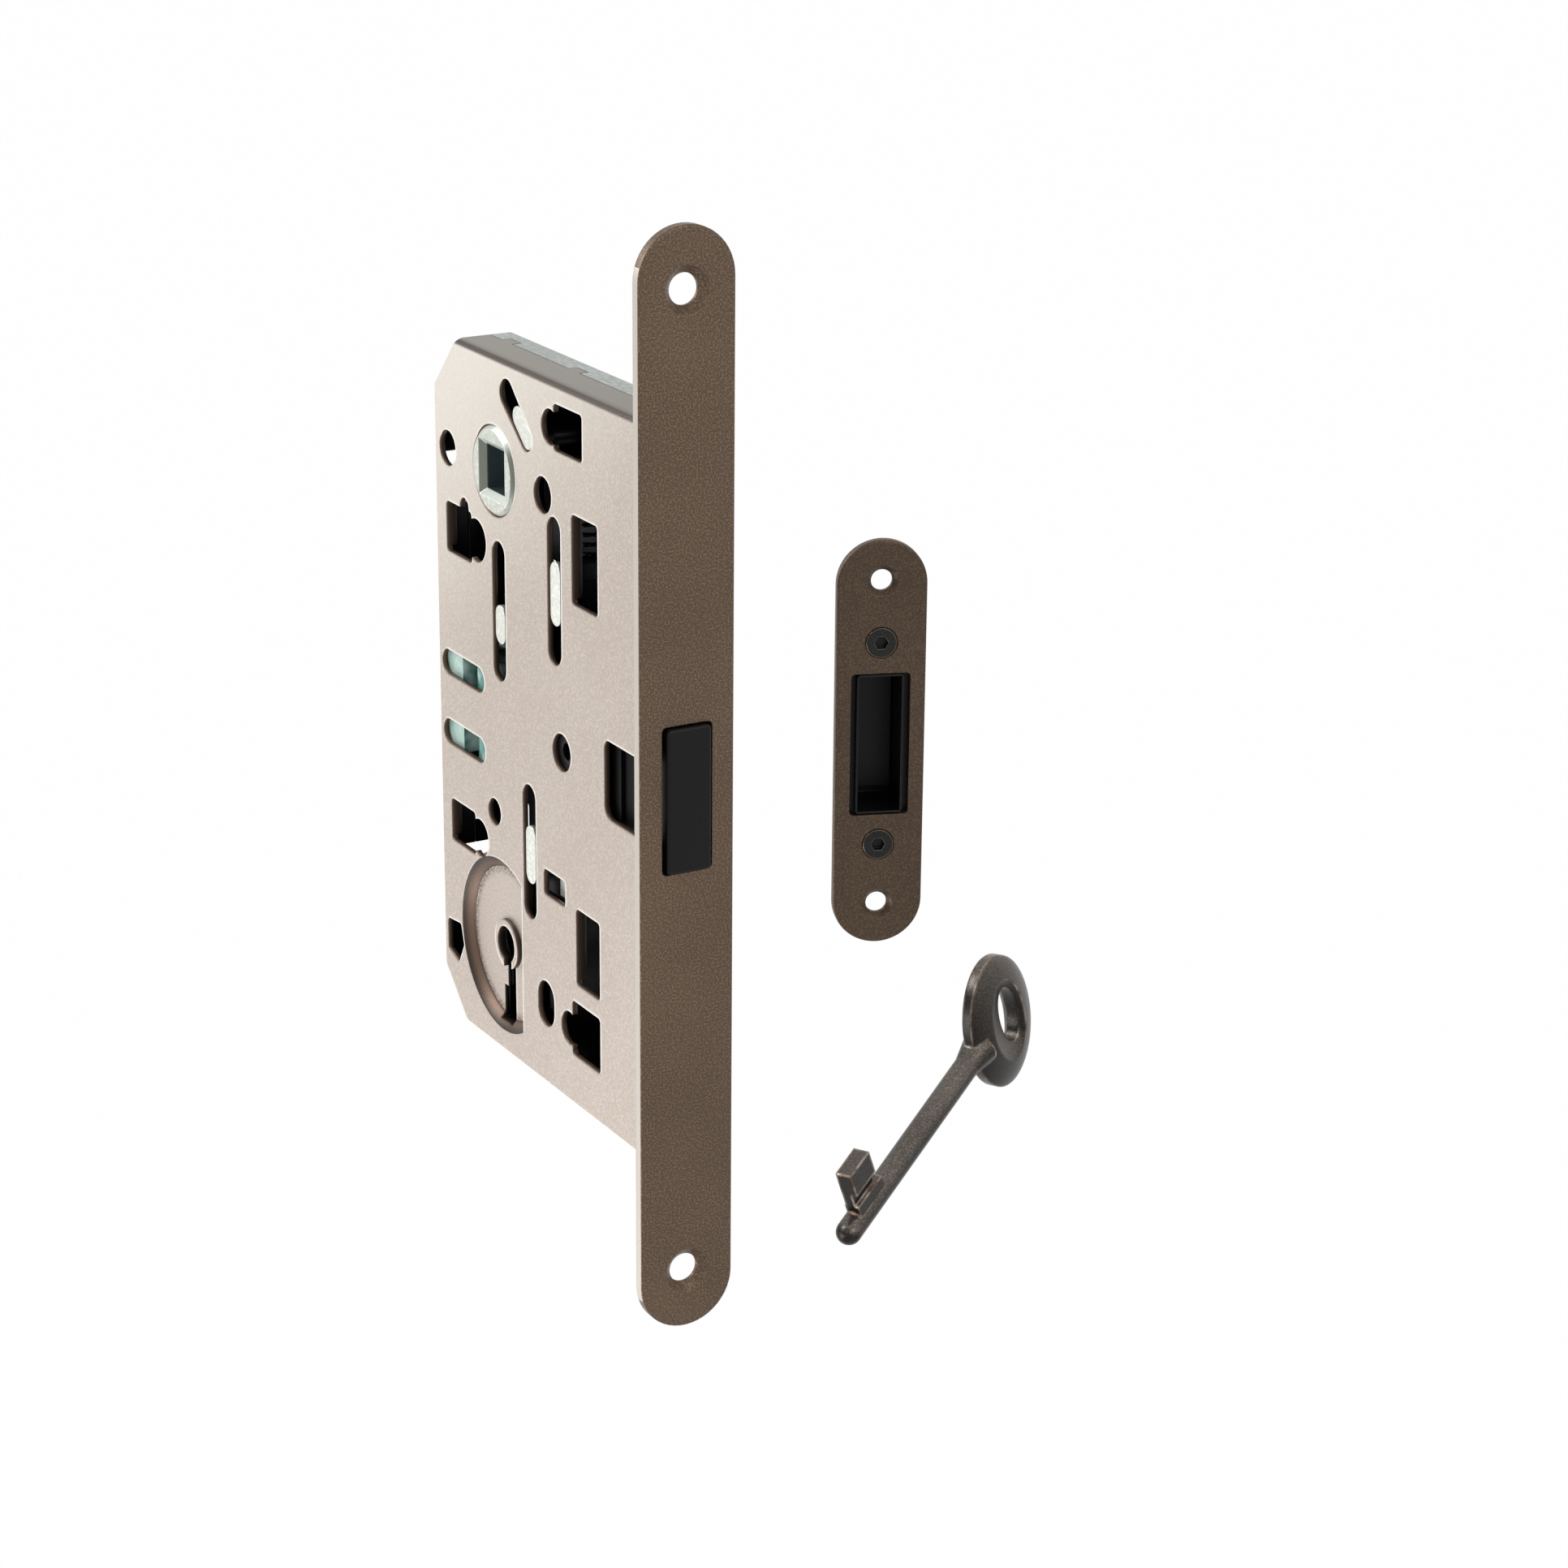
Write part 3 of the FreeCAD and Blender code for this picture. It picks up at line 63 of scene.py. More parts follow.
def white_to_eye(tree):
    """One where the camera, a gloss or a clear thing looks, and nought for the light on the object."""
    path = tree.nodes.new("ShaderNodeLightPath")
    seen = tree.nodes.new("ShaderNodeMath")
    seen.operation = "MAXIMUM"
    wire(tree, path.outputs["Is Camera Ray"], seen.inputs[0])
    through = tree.nodes.new("ShaderNodeMath")
    through.operation = "MAXIMUM"
    wire(tree, path.outputs["Is Glossy Ray"], through.inputs[0])
    wire(tree, path.outputs["Is Transmission Ray"], through.inputs[1])
    wire(tree, through.outputs[0], seen.inputs[1])
    return seen.outputs[0]


world = bpy.data.worlds.new("studio")
bpy.context.scene.world = world
world.use_nodes = True
sky = world.node_tree
sky.nodes.clear()
looked_at = white_to_eye(sky)
strength = sky.nodes.new("ShaderNodeMapRange")
strength.inputs["To Min"].default_value = SURROUND
strength.inputs["To Max"].default_value = 1.0
wire(sky, looked_at, strength.inputs["Value"])
background = sky.nodes.new("ShaderNodeBackground")
background.inputs["Color"].default_value = WHITE
wire(sky, strength.outputs["Result"], background.inputs["Strength"])
sky_out = sky.nodes.new("ShaderNodeOutputWorld")
wire(sky, background.outputs[0], sky_out.inputs["Surface"])

for lamp_name, lamp in LAMPS.items():
    light = bpy.data.lights.new(lamp_name, "AREA")
    light.size = lamp["size"]
    light.energy = lamp["power"]
    holder = bpy.data.objects.new(lamp_name, light)
    holder.location = lamp["at"]
    direction = -holder.location
    holder.rotation_euler = direction.to_track_quat("-Z", "Y").to_euler()
    bpy.context.scene.collection.objects.link(holder)

sheet_mesh = bpy.data.meshes.new("floor")
sheet_mesh.from_pydata([(x * FLOOR_HALF, y * FLOOR_HALF, FLOOR_DROP) for x, y in
                        ((-1, -1), (1, -1), (1, 1), (-1, 1))], [], [(0, 1, 2, 3)])
floor = bpy.data.objects.new("floor", sheet_mesh)
bpy.context.scene.collection.objects.link(floor)
paper = bpy.data.materials.new("pale_paper")
paper.use_nodes = True
tree = paper.node_tree
tree.nodes.clear()
looked_at = white_to_eye(tree)
matt = tree.nodes.new("ShaderNodeBsdfDiffuse")
matt.inputs["Color"].default_value = FLOOR_GREY
glow = tree.nodes.new("ShaderNodeEmission")
lit = tree.nodes.new("ShaderNodeMapRange")
lit.inputs["To Max"].default_value = FLOOR_GLOW
wire(tree, looked_at, lit.inputs["Value"])
blend = tree.nodes.new("ShaderNodeMixShader")
wire(tree, lit.outputs["Result"], blend.inputs["Fac"])
wire(tree, matt.outputs[0], blend.inputs[1])
wire(tree, glow.outputs[0], blend.inputs[2])
paper_out = tree.nodes.new("ShaderNodeOutputMaterial")
wire(tree, blend.outputs[0], paper_out.inputs["Surface"])
sheet_mesh.materials.append(paper)


# Forend: a flat steel bar with round ends, sprayed in a dark bronze with metal flakes, whose cut side
# is bare steel; its pale colour there is partly the steel's own and partly a painted highlight of the
# light from the left. The sunk screw holes and the latch's mouth are punched through it.
def colour(red, green, blue):
    """A shade from 0 to 255 in each channel, as the light that it stands for."""
    return tuple((c / 255 / 12.92) if c < 10 else ((c / 255 + 0.055) / 1.055) ** 2.4
                 for c in (red, green, blue)) + (1.0,)


def group_sockets(tree, inputs, outputs):
    """Name a group's sockets: numbers, colours and vectors, with their first values."""
    for way, sockets in (("INPUT", inputs), ("OUTPUT", outputs)):
        for socket_name, kind, first in sockets:
            made = tree.interface.new_socket(name=socket_name, in_out=way, socket_type="NodeSocket" + kind)
            if first is not None:
                made.default_value = first
    return tree.nodes.new("NodeGroupInput"), tree.nodes.new("NodeGroupOutput")


def maths(tree, operation, first, second=None):
    """A sum, product or the like of two sockets or numbers."""
    node = tree.nodes.new("ShaderNodeMath")
    node.operation = operation
    for slot, given in enumerate((first, second)):
        if given is None:
            continue
        if isinstance(given, (int, float)):
            node.inputs[slot].default_value = given
        else:
            wire(tree, given, node.inputs[slot])
    return node.outputs[0]


def overlap(tree, first, second):
    """One where two masks are."""
    return maths(tree, "MULTIPLY", first, second)


def noise(tree, where, scale, detail):
    """A cloudy pattern at so many lumps a metre."""
    node = tree.nodes.new("ShaderNodeTexNoise")
    if isinstance(scale, (int, float)):
        node.inputs["Scale"].default_value = scale
    else:
        wire(tree, scale, node.inputs["Scale"])
    node.inputs["Detail"].default_value = detail
    wire(tree, where, node.inputs["Vector"])
    return node.outputs["Fac"]


def mixed(tree, share, first, second):
    """Two colours mixed by a share; each is a socket or a colour."""
    node = tree.nodes.new("ShaderNodeMix")
    node.data_type = "RGBA"
    node.clamp_factor = True
    wire(tree, share, node.inputs["Factor"])
    for name, given in (("A", first), ("B", second)):
        socket = next(s for s in node.inputs if s.name == name and s.type == "RGBA")
        if isinstance(given, tuple):
            socket.default_value = given
        else:
            wire(tree, given, socket)
    return next(s for s in node.outputs if s.type == "RGBA")


def ramp(tree, value, low, high):
    """Nought below one value, one above another, and a smooth rise between."""
    node = tree.nodes.new("ShaderNodeMapRange")
    node.interpolation_type = "SMOOTHSTEP"
    node.inputs["From Min"].default_value = low
    node.inputs["From Max"].default_value = high
    wire(tree, value, node.inputs["Value"])
    return node.outputs["Result"]


FLAKE_DETAIL = 2.0
FLAKE_FROM, FLAKE_TO = 0.42, 0.68
CLOUD_LUMPS = 45.0
CLOUD_DETAIL = 3.0


def make_flake():
    """Metal flake in a paint: fine specks over broad, faint clouds, and the orange peel of its skin."""
    tree = bpy.data.node_groups.new("flake", "ShaderNodeTree")
    start, end = group_sockets(tree, (("Vector", "Vector", None), ("Base", "Color", None),
                                      ("Speck", "Color", None), ("Grain", "Float", 3000.0),
                                      ("Amount", "Float", 0.5), ("Cloud", "Float", 0.1)),
                               (("Colour", "Color", None), ("Height", "Float", None)))
    where = start.outputs["Vector"]
    fine = noise(tree, where, start.outputs["Grain"], FLAKE_DETAIL)
    specks = ramp(tree, fine, FLAKE_FROM, FLAKE_TO)
    cloud = noise(tree, where, CLOUD_LUMPS, CLOUD_DETAIL)
    shade = maths(tree, "MULTIPLY", maths(tree, "SUBTRACT", cloud, 0.5), start.outputs["Cloud"])
    share = maths(tree, "ADD", maths(tree, "MULTIPLY", specks, start.outputs["Amount"]), shade)
    wire(tree, mixed(tree, share, start.outputs["Base"], start.outputs["Speck"]), end.inputs["Colour"])
    wire(tree, fine, end.inputs["Height"])
    return tree


COAT_ROUGHNESS = 0.2


def start_material(name, roughness, metallic, coat=0.0):
    """A material with its shader, and the object's own coordinates and normals to draw on it by."""
    made = bpy.data.materials.new(name)
    made.use_nodes = True
    tree = made.node_tree
    shader = tree.nodes["Principled BSDF"]
    shader.inputs["Roughness"].default_value = roughness
    shader.inputs["Metallic"].default_value = metallic
    shader.inputs["Coat Weight"].default_value = coat
    shader.inputs["Coat Roughness"].default_value = COAT_ROUGHNESS
    return made, tree, shader, tree.nodes.new("ShaderNodeTexCoord").outputs


def parts(tree, vector):
    """A vector's parts along X, Y and Z."""
    split = tree.nodes.new("ShaderNodeSeparateXYZ")
    wire(tree, vector, split.inputs[0])
    return split.outputs


def place_group(tree, group, where, **values):
    """A group placed in a material with its own values, or with sockets that feed it."""
    node = tree.nodes.new("ShaderNodeGroup")
    node.node_tree = group
    wire(tree, where, node.inputs["Vector"])
    for socket_name, given in values.items():
        if isinstance(given, bpy.types.NodeSocket):
            wire(tree, given, node.inputs[socket_name])
        else:
            node.inputs[socket_name].default_value = given
    return node.outputs


def along(tree, vector, direction):
    """How far a vector reaches in a direction."""
    node = tree.nodes.new("ShaderNodeVectorMath")
    node.operation = "DOT_PRODUCT"
    wire(tree, vector, node.inputs[0])
    node.inputs[1].default_value = direction
    return node.outputs["Value"]


BEVEL_SAMPLES = 6


def rounded(tree, radius):
    """The normal over edges as if they were rounded off."""
    node = tree.nodes.new("ShaderNodeBevel")
    node.samples = BEVEL_SAMPLES
    node.inputs["Radius"].default_value = radius
    return node.outputs["Normal"]


def bump(tree, shader, height, depth, normal=None):
    """Raise the surface by a height pattern, in metres, over rounded edges where they are given."""
    node = tree.nodes.new("ShaderNodeBump")
    node.inputs["Distance"].default_value = depth
    wire(tree, height, node.inputs["Height"])
    if normal:
        wire(tree, normal, node.inputs["Normal"])
    wire(tree, node.outputs["Normal"], shader.inputs["Normal"])


def dress(node_name, material):
    """Give a CAD node its finished material."""
    slots = nodes[node_name].data.materials
    slots.clear()
    slots.append(material)


flake = make_flake()
EDGE_FROM = 0.0086
SIDE_FROM = 0.00035
SIDEWAYS = 0.6
CUT_STEEL_AND_HIGHLIGHT = colour(182, 174, 165)
forend_paint, tree, shader, place = start_material("forend_bronze", roughness=0.42, metallic=0.5)
paint = place_group(tree, flake, place["Object"], Base=colour(82, 65, 50), Speck=colour(152, 129, 107),
                    Grain=3000.0, Amount=0.42, Cloud=0.3)
at = parts(tree, place["Object"])
sideways = maths(tree, "ABSOLUTE", parts(tree, place["Normal"])["X"])
outer = maths(tree, "GREATER_THAN", maths(tree, "ABSOLUTE", at["X"]), EDGE_FROM)
# Painted highlight: the outer sideways faces, the cut side, take the pale bare-steel colour, which also
# stands for light from the left.
bare_and_highlight = overlap(tree, overlap(tree, maths(tree, "GREATER_THAN", sideways, SIDEWAYS), outer),
               maths(tree, "GREATER_THAN", at["Y"], SIDE_FROM))
wire(tree, mixed(tree, bare_and_highlight, paint["Colour"], CUT_STEEL_AND_HIGHLIGHT), shader.inputs["Base Color"])
bump(tree, shader, paint["Height"], depth=0.00003, normal=rounded(tree, radius=0.00025))
dress("forend_plate", forend_paint)

# Case: two trays of thin steel, bent and punched. The near one has a bronze lacquer outside, whose pale
# base colour is partly its own and partly painted light from the left. It carries a painted sheen towards
# its upper rear corner, painted shade over its bends, on its top flange and into its holes, and painted
# highlights and painted shade along its rounded edges. Both trays are painted near black inside as shade.
# The far one is zinc plated.
LINED = 0.0052
SHEET = 0.0016
STEEP = 0.65
# each line of the outline: its inward direction along Y and Z, and its distance from the origin
CASE_LINES = ((-1.0, 0.0, 0.0855), (0.0, -1.0, 0.0656), (0.0, 1.0, 0.0670), (-0.7317, -0.6817, 0.09930),
              (-0.6972, 0.7169, 0.10004))
CASE_MIDDLE = 0.042
# painted shade: the near-black colour of the inside of the case, its hole walls and its lining
INNER_SHADE = colour(7, 7, 7)


def make_case_insides():
    """Masks for the walls of the case's holes, which are steep faces off its outline, and for its lining."""
    tree = bpy.data.node_groups.new("case_insides", "ShaderNodeTree")
    start, end = group_sockets(tree, (("Vector", "Vector", None), ("Facing", "Vector", None)),
                               (("Wall", "Float", None), ("Lining", "Float", None)))
    at, facing = parts(tree, start.outputs["Vector"]), parts(tree, start.outputs["Facing"])
    least = None
    for back, up, offset in CASE_LINES:
        off = maths(tree, "ADD", along(tree, start.outputs["Vector"], (0.0, back, up)), offset)
        least = maths(tree, "MINIMUM", least, off) if least else off
    steep = maths(tree, "LESS_THAN", maths(tree, "ABSOLUTE", facing["X"]), STEEP)
    wire(tree, overlap(tree, steep, maths(tree, "GREATER_THAN", least, SHEET)), end.inputs["Wall"])
    inward = maths(tree, "MULTIPLY", facing["Y"], maths(tree, "SUBTRACT", CASE_MIDDLE, at["Y"]))
    inward = maths(tree, "SUBTRACT", inward, maths(tree, "MULTIPLY", facing["Z"], at["Z"]))
    flange = overlap(tree, steep, maths(tree, "LESS_THAN", least, SHEET))
    hidden = maths(tree, "LESS_THAN", maths(tree, "ABSOLUTE", at["X"]), LINED)
    wire(tree, overlap(tree, overlap(tree, flange, hidden), maths(tree, "GREATER_THAN", inward, 0.0)),
         end.inputs["Lining"])
    return tree


case_insides = make_case_insides()
TO_UPPER_REAR = (0.0, 0.55, 0.83)
DOWN_AND_REAR = (0.0, 0.8, -0.6)
UP_AND_FRONT = (0.0, -0.8, 0.6)
PAINTED_SHEEN = colour(226, 222, 212)
PAINTED_SHEEN_SHARE = 0.6
EDGE_HIGHLIGHT = colour(255, 252, 246)
EDGE_SHADE = colour(70, 55, 45)
BEND_SHADE = colour(52, 41, 34)
TOP_FLANGE_SHADE = colour(126, 121, 112)
# The pale base colour is partly the lacquer's own and partly painted light from the left.
case_paint, tree, shader, place = start_material("case_bronze", roughness=0.4, metallic=0.55)
paint = place_group(tree, flake, place["Object"], Base=colour(172, 160, 150), Speck=colour(206, 196, 187),
                    Grain=2600.0, Amount=0.5, Cloud=0.3)
at, facing = parts(tree, place["Object"]), parts(tree, place["Normal"])
edge_normal = rounded(tree, radius=0.0008)
# Painted highlight: the skin is painted paler towards the upper rear corner, as a sheen of light there.
painted_sheen = ramp(tree, along(tree, place["Object"], TO_UPPER_REAR), low=0.040, high=0.095)
skin = mixed(tree, maths(tree, "MULTIPLY", painted_sheen, PAINTED_SHEEN_SHARE), paint["Colour"], PAINTED_SHEEN)
# Painted light: a highlight on edges that lean down and to the rear, shade on edges that lean up and to the
# front, shade over the bend to the top flange, and the top flange painted darker as shade.
for lean, low, high, tone in ((along(tree, edge_normal, DOWN_AND_REAR), 0.06, 0.26, EDGE_HIGHLIGHT),
                              (along(tree, edge_normal, UP_AND_FRONT), 0.05, 0.50, EDGE_SHADE),
                              (facing["Z"], 0.05, 0.45, BEND_SHADE),
                              (facing["Z"], 0.70, 0.98, TOP_FLANGE_SHADE)):
    skin = mixed(tree, ramp(tree, lean, low, high), skin, tone)

# The round recess about the keyhole is pressed in. Its slope is painted dark as shade, darkest at its
# outer edge, and a speckled painted shade lies where its floor begins.
KEY_MIDDLE = (0.0, 0.060, -0.0454)
RECESS = 0.0172
FLOOR_LEVEL = -0.0057
FLAT_ON = -0.93
RECESS_SHADE_LUMPS = 2200.0
RECESS_SHADE_SHARE = 0.95
RECESS_SHADE = colour(96, 78, 64)
SLOPE_SHADE_DARK = colour(42, 31, 24)
SLOPE_SHADE = colour(92, 72, 58)
SLOPE_SHADE_FOOT = colour(52, 41, 34)
to_key = tree.nodes.new("ShaderNodeVectorMath")
to_key.operation = "DISTANCE"
flat = tree.nodes.new("ShaderNodeCombineXYZ")
wire(tree, at["Y"], flat.inputs["Y"])
wire(tree, at["Z"], flat.inputs["Z"])
wire(tree, flat.outputs[0], to_key.inputs[0])
to_key.inputs[1].default_value = KEY_MIDDLE
reach = to_key.outputs["Value"]
in_recess = maths(tree, "LESS_THAN", reach, RECESS)
# Painted shade: speckled darkening on the floor just inside the recess's slope.
recess_shade = overlap(tree, ramp(tree, reach, low=0.0126, high=0.0146), in_recess)
recess_shade = overlap(tree, recess_shade, maths(tree, "GREATER_THAN", at["X"], FLOOR_LEVEL))
speckled = ramp(tree, noise(tree, place["Object"], RECESS_SHADE_LUMPS, detail=2.0), low=0.30, high=0.62)
recess_shade = overlap(tree, recess_shade, speckled)
skin = mixed(tree, maths(tree, "MULTIPLY", recess_shade, RECESS_SHADE_SHARE), skin, RECESS_SHADE)
# Painted shade: the slope darkens towards its outer edge and again at its foot.
slope = mixed(tree, ramp(tree, at["X"], low=-0.0059, high=-0.0048), SLOPE_SHADE_DARK, SLOPE_SHADE)
slope = mixed(tree, ramp(tree, at["X"], low=-0.0046, high=-0.0042), slope, SLOPE_SHADE_FOOT)
skin = mixed(tree, overlap(tree, maths(tree, "GREATER_THAN", facing["X"], FLAT_ON), in_recess), skin, slope)

# Painted shade: the walls of the case's holes darken inwards from the skin to near black, and the
# lining and inner faces are painted near black as the shade inside the case.
HOLE_WALL_SHADE = colour(104, 85, 72)
FACES_IN = 0.5
wall, lining = place_group(tree, case_insides, place["Object"], Facing=place["Normal"])
wall_shade = mixed(tree, ramp(tree, at["X"], low=-0.0059, high=-0.0036), HOLE_WALL_SHADE, INNER_SHADE)
skin = mixed(tree, wall, skin, wall_shade)
inward = overlap(tree, maths(tree, "GREATER_THAN", facing["X"], FACES_IN),
                 maths(tree, "GREATER_THAN", at["X"], -LINED))
wire(tree, mixed(tree, maths(tree, "MAXIMUM", inward, lining), skin, INNER_SHADE), shader.inputs["Base Color"])
bump(tree, shader, paint["Height"], depth=0.00003, normal=edge_normal)
dress("case_cover", case_paint)

case_zinc, tree, shader, place = start_material("zinc_sheet", roughness=0.35, metallic=0.7)
paint = place_group(tree, flake, place["Object"], Base=colour(142, 149, 144), Speck=colour(194, 201, 196),
                    Grain=1100.0, Amount=0.5, Cloud=0.7)
at, facing = parts(tree, place["Object"]), parts(tree, place["Normal"])
wall, lining = place_group(tree, case_insides, place["Object"], Facing=place["Normal"])
# Painted shade: the far tray's inner faces, the walls of its holes and its lining are painted near black.
inward = overlap(tree, maths(tree, "LESS_THAN", facing["X"], -FACES_IN),
                 maths(tree, "LESS_THAN", at["X"], LINED))
dark = maths(tree, "MAXIMUM", maths(tree, "MAXIMUM", inward, wall), lining)
wire(tree, mixed(tree, dark, paint["Colour"], INNER_SHADE), shader.inputs["Base Color"])
bump(tree, shader, paint["Height"], depth=0.00003, normal=rounded(tree, radius=0.0003))
dress("case_body", case_zinc)

# Follower: a zinc casting that turns in both halves of the case. Its hub is pale zinc with a painted
# highlight on edges that lean to the rear and painted shade on those that lean to the front or up; its
# square hole is painted dark as shade, and the rest is painted near black for the shade inside the case.
REARWARD, ZINC_HIGHLIGHT = (0.0, 1.0, 0.0), colour(240, 241, 235)
FRONTWARD, ZINC_SHADE = (0.0, -1.0, 0.0), colour(112, 116, 107)
UPWARD, ZINC_TOP_SHADE = (0.0, 0.0, 1.0), colour(176, 181, 173)


def make_zinc_light():
    """Cast zinc with a painted highlight where an edge leans to the rear of the case, and painted shade
    where it leans to the front or up.
    """
    tree = bpy.data.node_groups.new("zinc_light", "ShaderNodeTree")
    start, end = group_sockets(tree, (("Vector", "Vector", None), ("Paint", "Color", None)),
                               (("Colour", "Color", None),))
    shade = start.outputs["Paint"]
    for direction, low, high, tone in ((REARWARD, 0.15, 0.5, ZINC_HIGHLIGHT), (FRONTWARD, 0.15, 0.6, ZINC_SHADE),
                                       (UPWARD, 0.30, 0.7, ZINC_TOP_SHADE)):
        lean = along(tree, start.outputs["Vector"], direction)
        shade = mixed(tree, ramp(tree, lean, low, high), shade, tone)
    wire(tree, shade, end.inputs["Colour"])
    return tree


def in_square(tree, at, back, up, half):
    """One inside a square of the case's side, so far back and up."""
    aside = maths(tree, "ABSOLUTE", maths(tree, "SUBTRACT", at["Y"], back))
    above = maths(tree, "ABSOLUTE", maths(tree, "SUBTRACT", at["Z"], up))
    return maths(tree, "LESS_THAN", maths(tree, "MAXIMUM", aside, above), half)


zinc_light = make_zinc_light()
POST_FROM = 0.0051
SHADED = colour(16, 17, 17)
SQUARE_HOLE_SHADE = colour(84, 99, 102)
cast_zinc, tree, shader, place = start_material("follower_zinc", roughness=0.36, metallic=0.7)
paint = place_group(tree, flake, place["Object"], Base=colour(190, 194, 185), Speck=colour(232, 233, 225),
                    Grain=1600.0, Amount=0.5, Cloud=0.8)
at = parts(tree, place["Object"])
edge_normal = rounded(tree, radius=0.00035)
# Painted shade: the square hole is painted dark.
within = in_square(tree, at, back=0.060, up=0.0446, half=0.00408)
raised = maths(tree, "GREATER_THAN", maths(tree, "ABSOLUTE", at["X"]), POST_FROM)
zinc = place_group(tree, zinc_light, edge_normal, Paint=paint["Colour"])["Colour"]
cast = mixed(tree, raised, SHADED, zinc)
wire(tree, mixed(tree, within, cast, SQUARE_HOLE_SHADE), shader.inputs["Base Color"])
bump(tree, shader, paint["Height"], depth=0.00003, normal=edge_normal)
dress("follower", cast_zinc)

# Slides: zinc castings behind the slots, whose raised posts are pale zinc with painted highlights and
# painted shade on their edges, and the rest is painted near black for the shade inside the case. The lock
# slide also shows bright behind the small window beside its post.
slide_zinc, tree, shader, place = start_material("slide_zinc", roughness=0.4, metallic=0.7)
paint = place_group(tree, flake, place["Object"], Base=colour(206, 208, 200), Speck=colour(242, 242, 236),
                    Grain=1600.0, Amount=0.5, Cloud=0.8)
at = parts(tree, place["Object"])
edge_normal = rounded(tree, radius=0.0004)
raised = maths(tree, "GREATER_THAN", maths(tree, "ABSOLUTE", at["X"]), POST_FROM)
bright = in_square(tree, at, back=0.0375, up=-0.0265, half=0.0030)
zinc = place_group(tree, zinc_light, edge_normal, Paint=paint["Colour"])["Colour"]
# Painted shade: all but the raised posts and the patch behind the small window is painted near black.
wire(tree, mixed(tree, maths(tree, "MAXIMUM", raised, bright), SHADED, zinc), shader.inputs["Base Color"])
bump(tree, shader, paint["Height"], depth=0.00003, normal=edge_normal)
for slide in ("transfer_slide", "return_slider", "lock_slide", "latch_crank", "crank_pin"):
    dress(slide, slide_zinc)

# Springs: two coils of drawn steel wire and two bent strips of spring steel, painted near black as the
# shade inside the case. They lie behind the slides and show only as lines in the windows.
spring_steel, tree, shader, place = start_material("spring_steel", roughness=0.3, metallic=0.9)
paint = place_group(tree, flake, place["Object"], Base=colour(14, 14, 14), Speck=colour(40, 40, 39),
                    Grain=2500.0, Amount=0.5, Cloud=0.4)
wire(tree, paint["Colour"], shader.inputs["Base Color"])
for spring in ("transfer_spring", "latch_spring", "return_spring", "detent_spring"):
    dress(spring, spring_steel)

# Latch, its guide and the strike's box: black moulded plastic, with a faint grain from the mould and a
# painted highlight along the edges. The magnet behind the box is black as well.
EDGE_FLAT, EDGE_SHARP = 0.98, 0.80


def make_edge_wear_and_highlight():
    """One where a rounded normal leans far off its face, and nought where it is the face's own."""
    tree = bpy.data.node_groups.new("edge_wear_and_highlight", "ShaderNodeTree")
    start, end = group_sockets(tree, (("Vector", "Vector", None), ("Flat", "Float", EDGE_FLAT)),
                               (("Mask", "Float", None),))
    shape = tree.nodes.new("ShaderNodeNewGeometry")
    lean = tree.nodes.new("ShaderNodeVectorMath")
    lean.operation = "DOT_PRODUCT"
    wire(tree, start.outputs["Vector"], lean.inputs[0])
    wire(tree, shape.outputs["Normal"], lean.inputs[1])
    mask = ramp(tree, lean.outputs["Value"], EDGE_FLAT, EDGE_SHARP)
    wire(tree, start.outputs["Flat"], mask.node.inputs["From Min"])
    wire(tree, mask, end.inputs["Mask"])
    return tree


edge_wear_and_highlight = make_edge_wear_and_highlight()
PLASTIC_EDGE_HIGHLIGHT = colour(40, 40, 40)
PLASTIC_SPECULAR = 0.18
black_plastic, tree, shader, place = start_material("black_plastic", roughness=0.4, metallic=0.0)
shader.inputs["Specular IOR Level"].default_value = PLASTIC_SPECULAR
paint = place_group(tree, flake, place["Object"], Base=colour(7, 7, 7), Speck=colour(19, 19, 19),
                    Grain=2200.0, Amount=0.35, Cloud=0.3)
edge_normal = rounded(tree, radius=0.0003)
# Painted highlight: edges where the rounded normal leans off the face are painted paler.
edge = place_group(tree, edge_wear_and_highlight, edge_normal, Flat=EDGE_FLAT)["Mask"]
wire(tree, mixed(tree, edge, paint["Colour"], PLASTIC_EDGE_HIGHLIGHT), shader.inputs["Base Color"])
bump(tree, shader, paint["Height"], depth=0.00002, normal=edge_normal)
for moulding in ("latch_bolt", "latch_guide", "strike_box", "strike_magnet"):
    dress(moulding, black_plastic)

# Armature: a block of soft iron let into the latch for the strike's magnet to draw. It has a dull black
# oxide, and shows in the case's side window.
IRON_SPECULAR = 0.12
black_iron, tree, shader, place = start_material("black_iron", roughness=0.5, metallic=0.1)
shader.inputs["Specular IOR Level"].default_value = IRON_SPECULAR
paint = place_group(tree, flake, place["Object"], Base=colour(5, 5, 5), Speck=colour(15, 15, 15),
                    Grain=2600.0, Amount=0.35, Cloud=0.3)
wire(tree, paint["Colour"], shader.inputs["Base Color"])
bump(tree, shader, paint["Height"], depth=0.00001, normal=rounded(tree, radius=0.0003))
dress("latch_armature", black_iron)

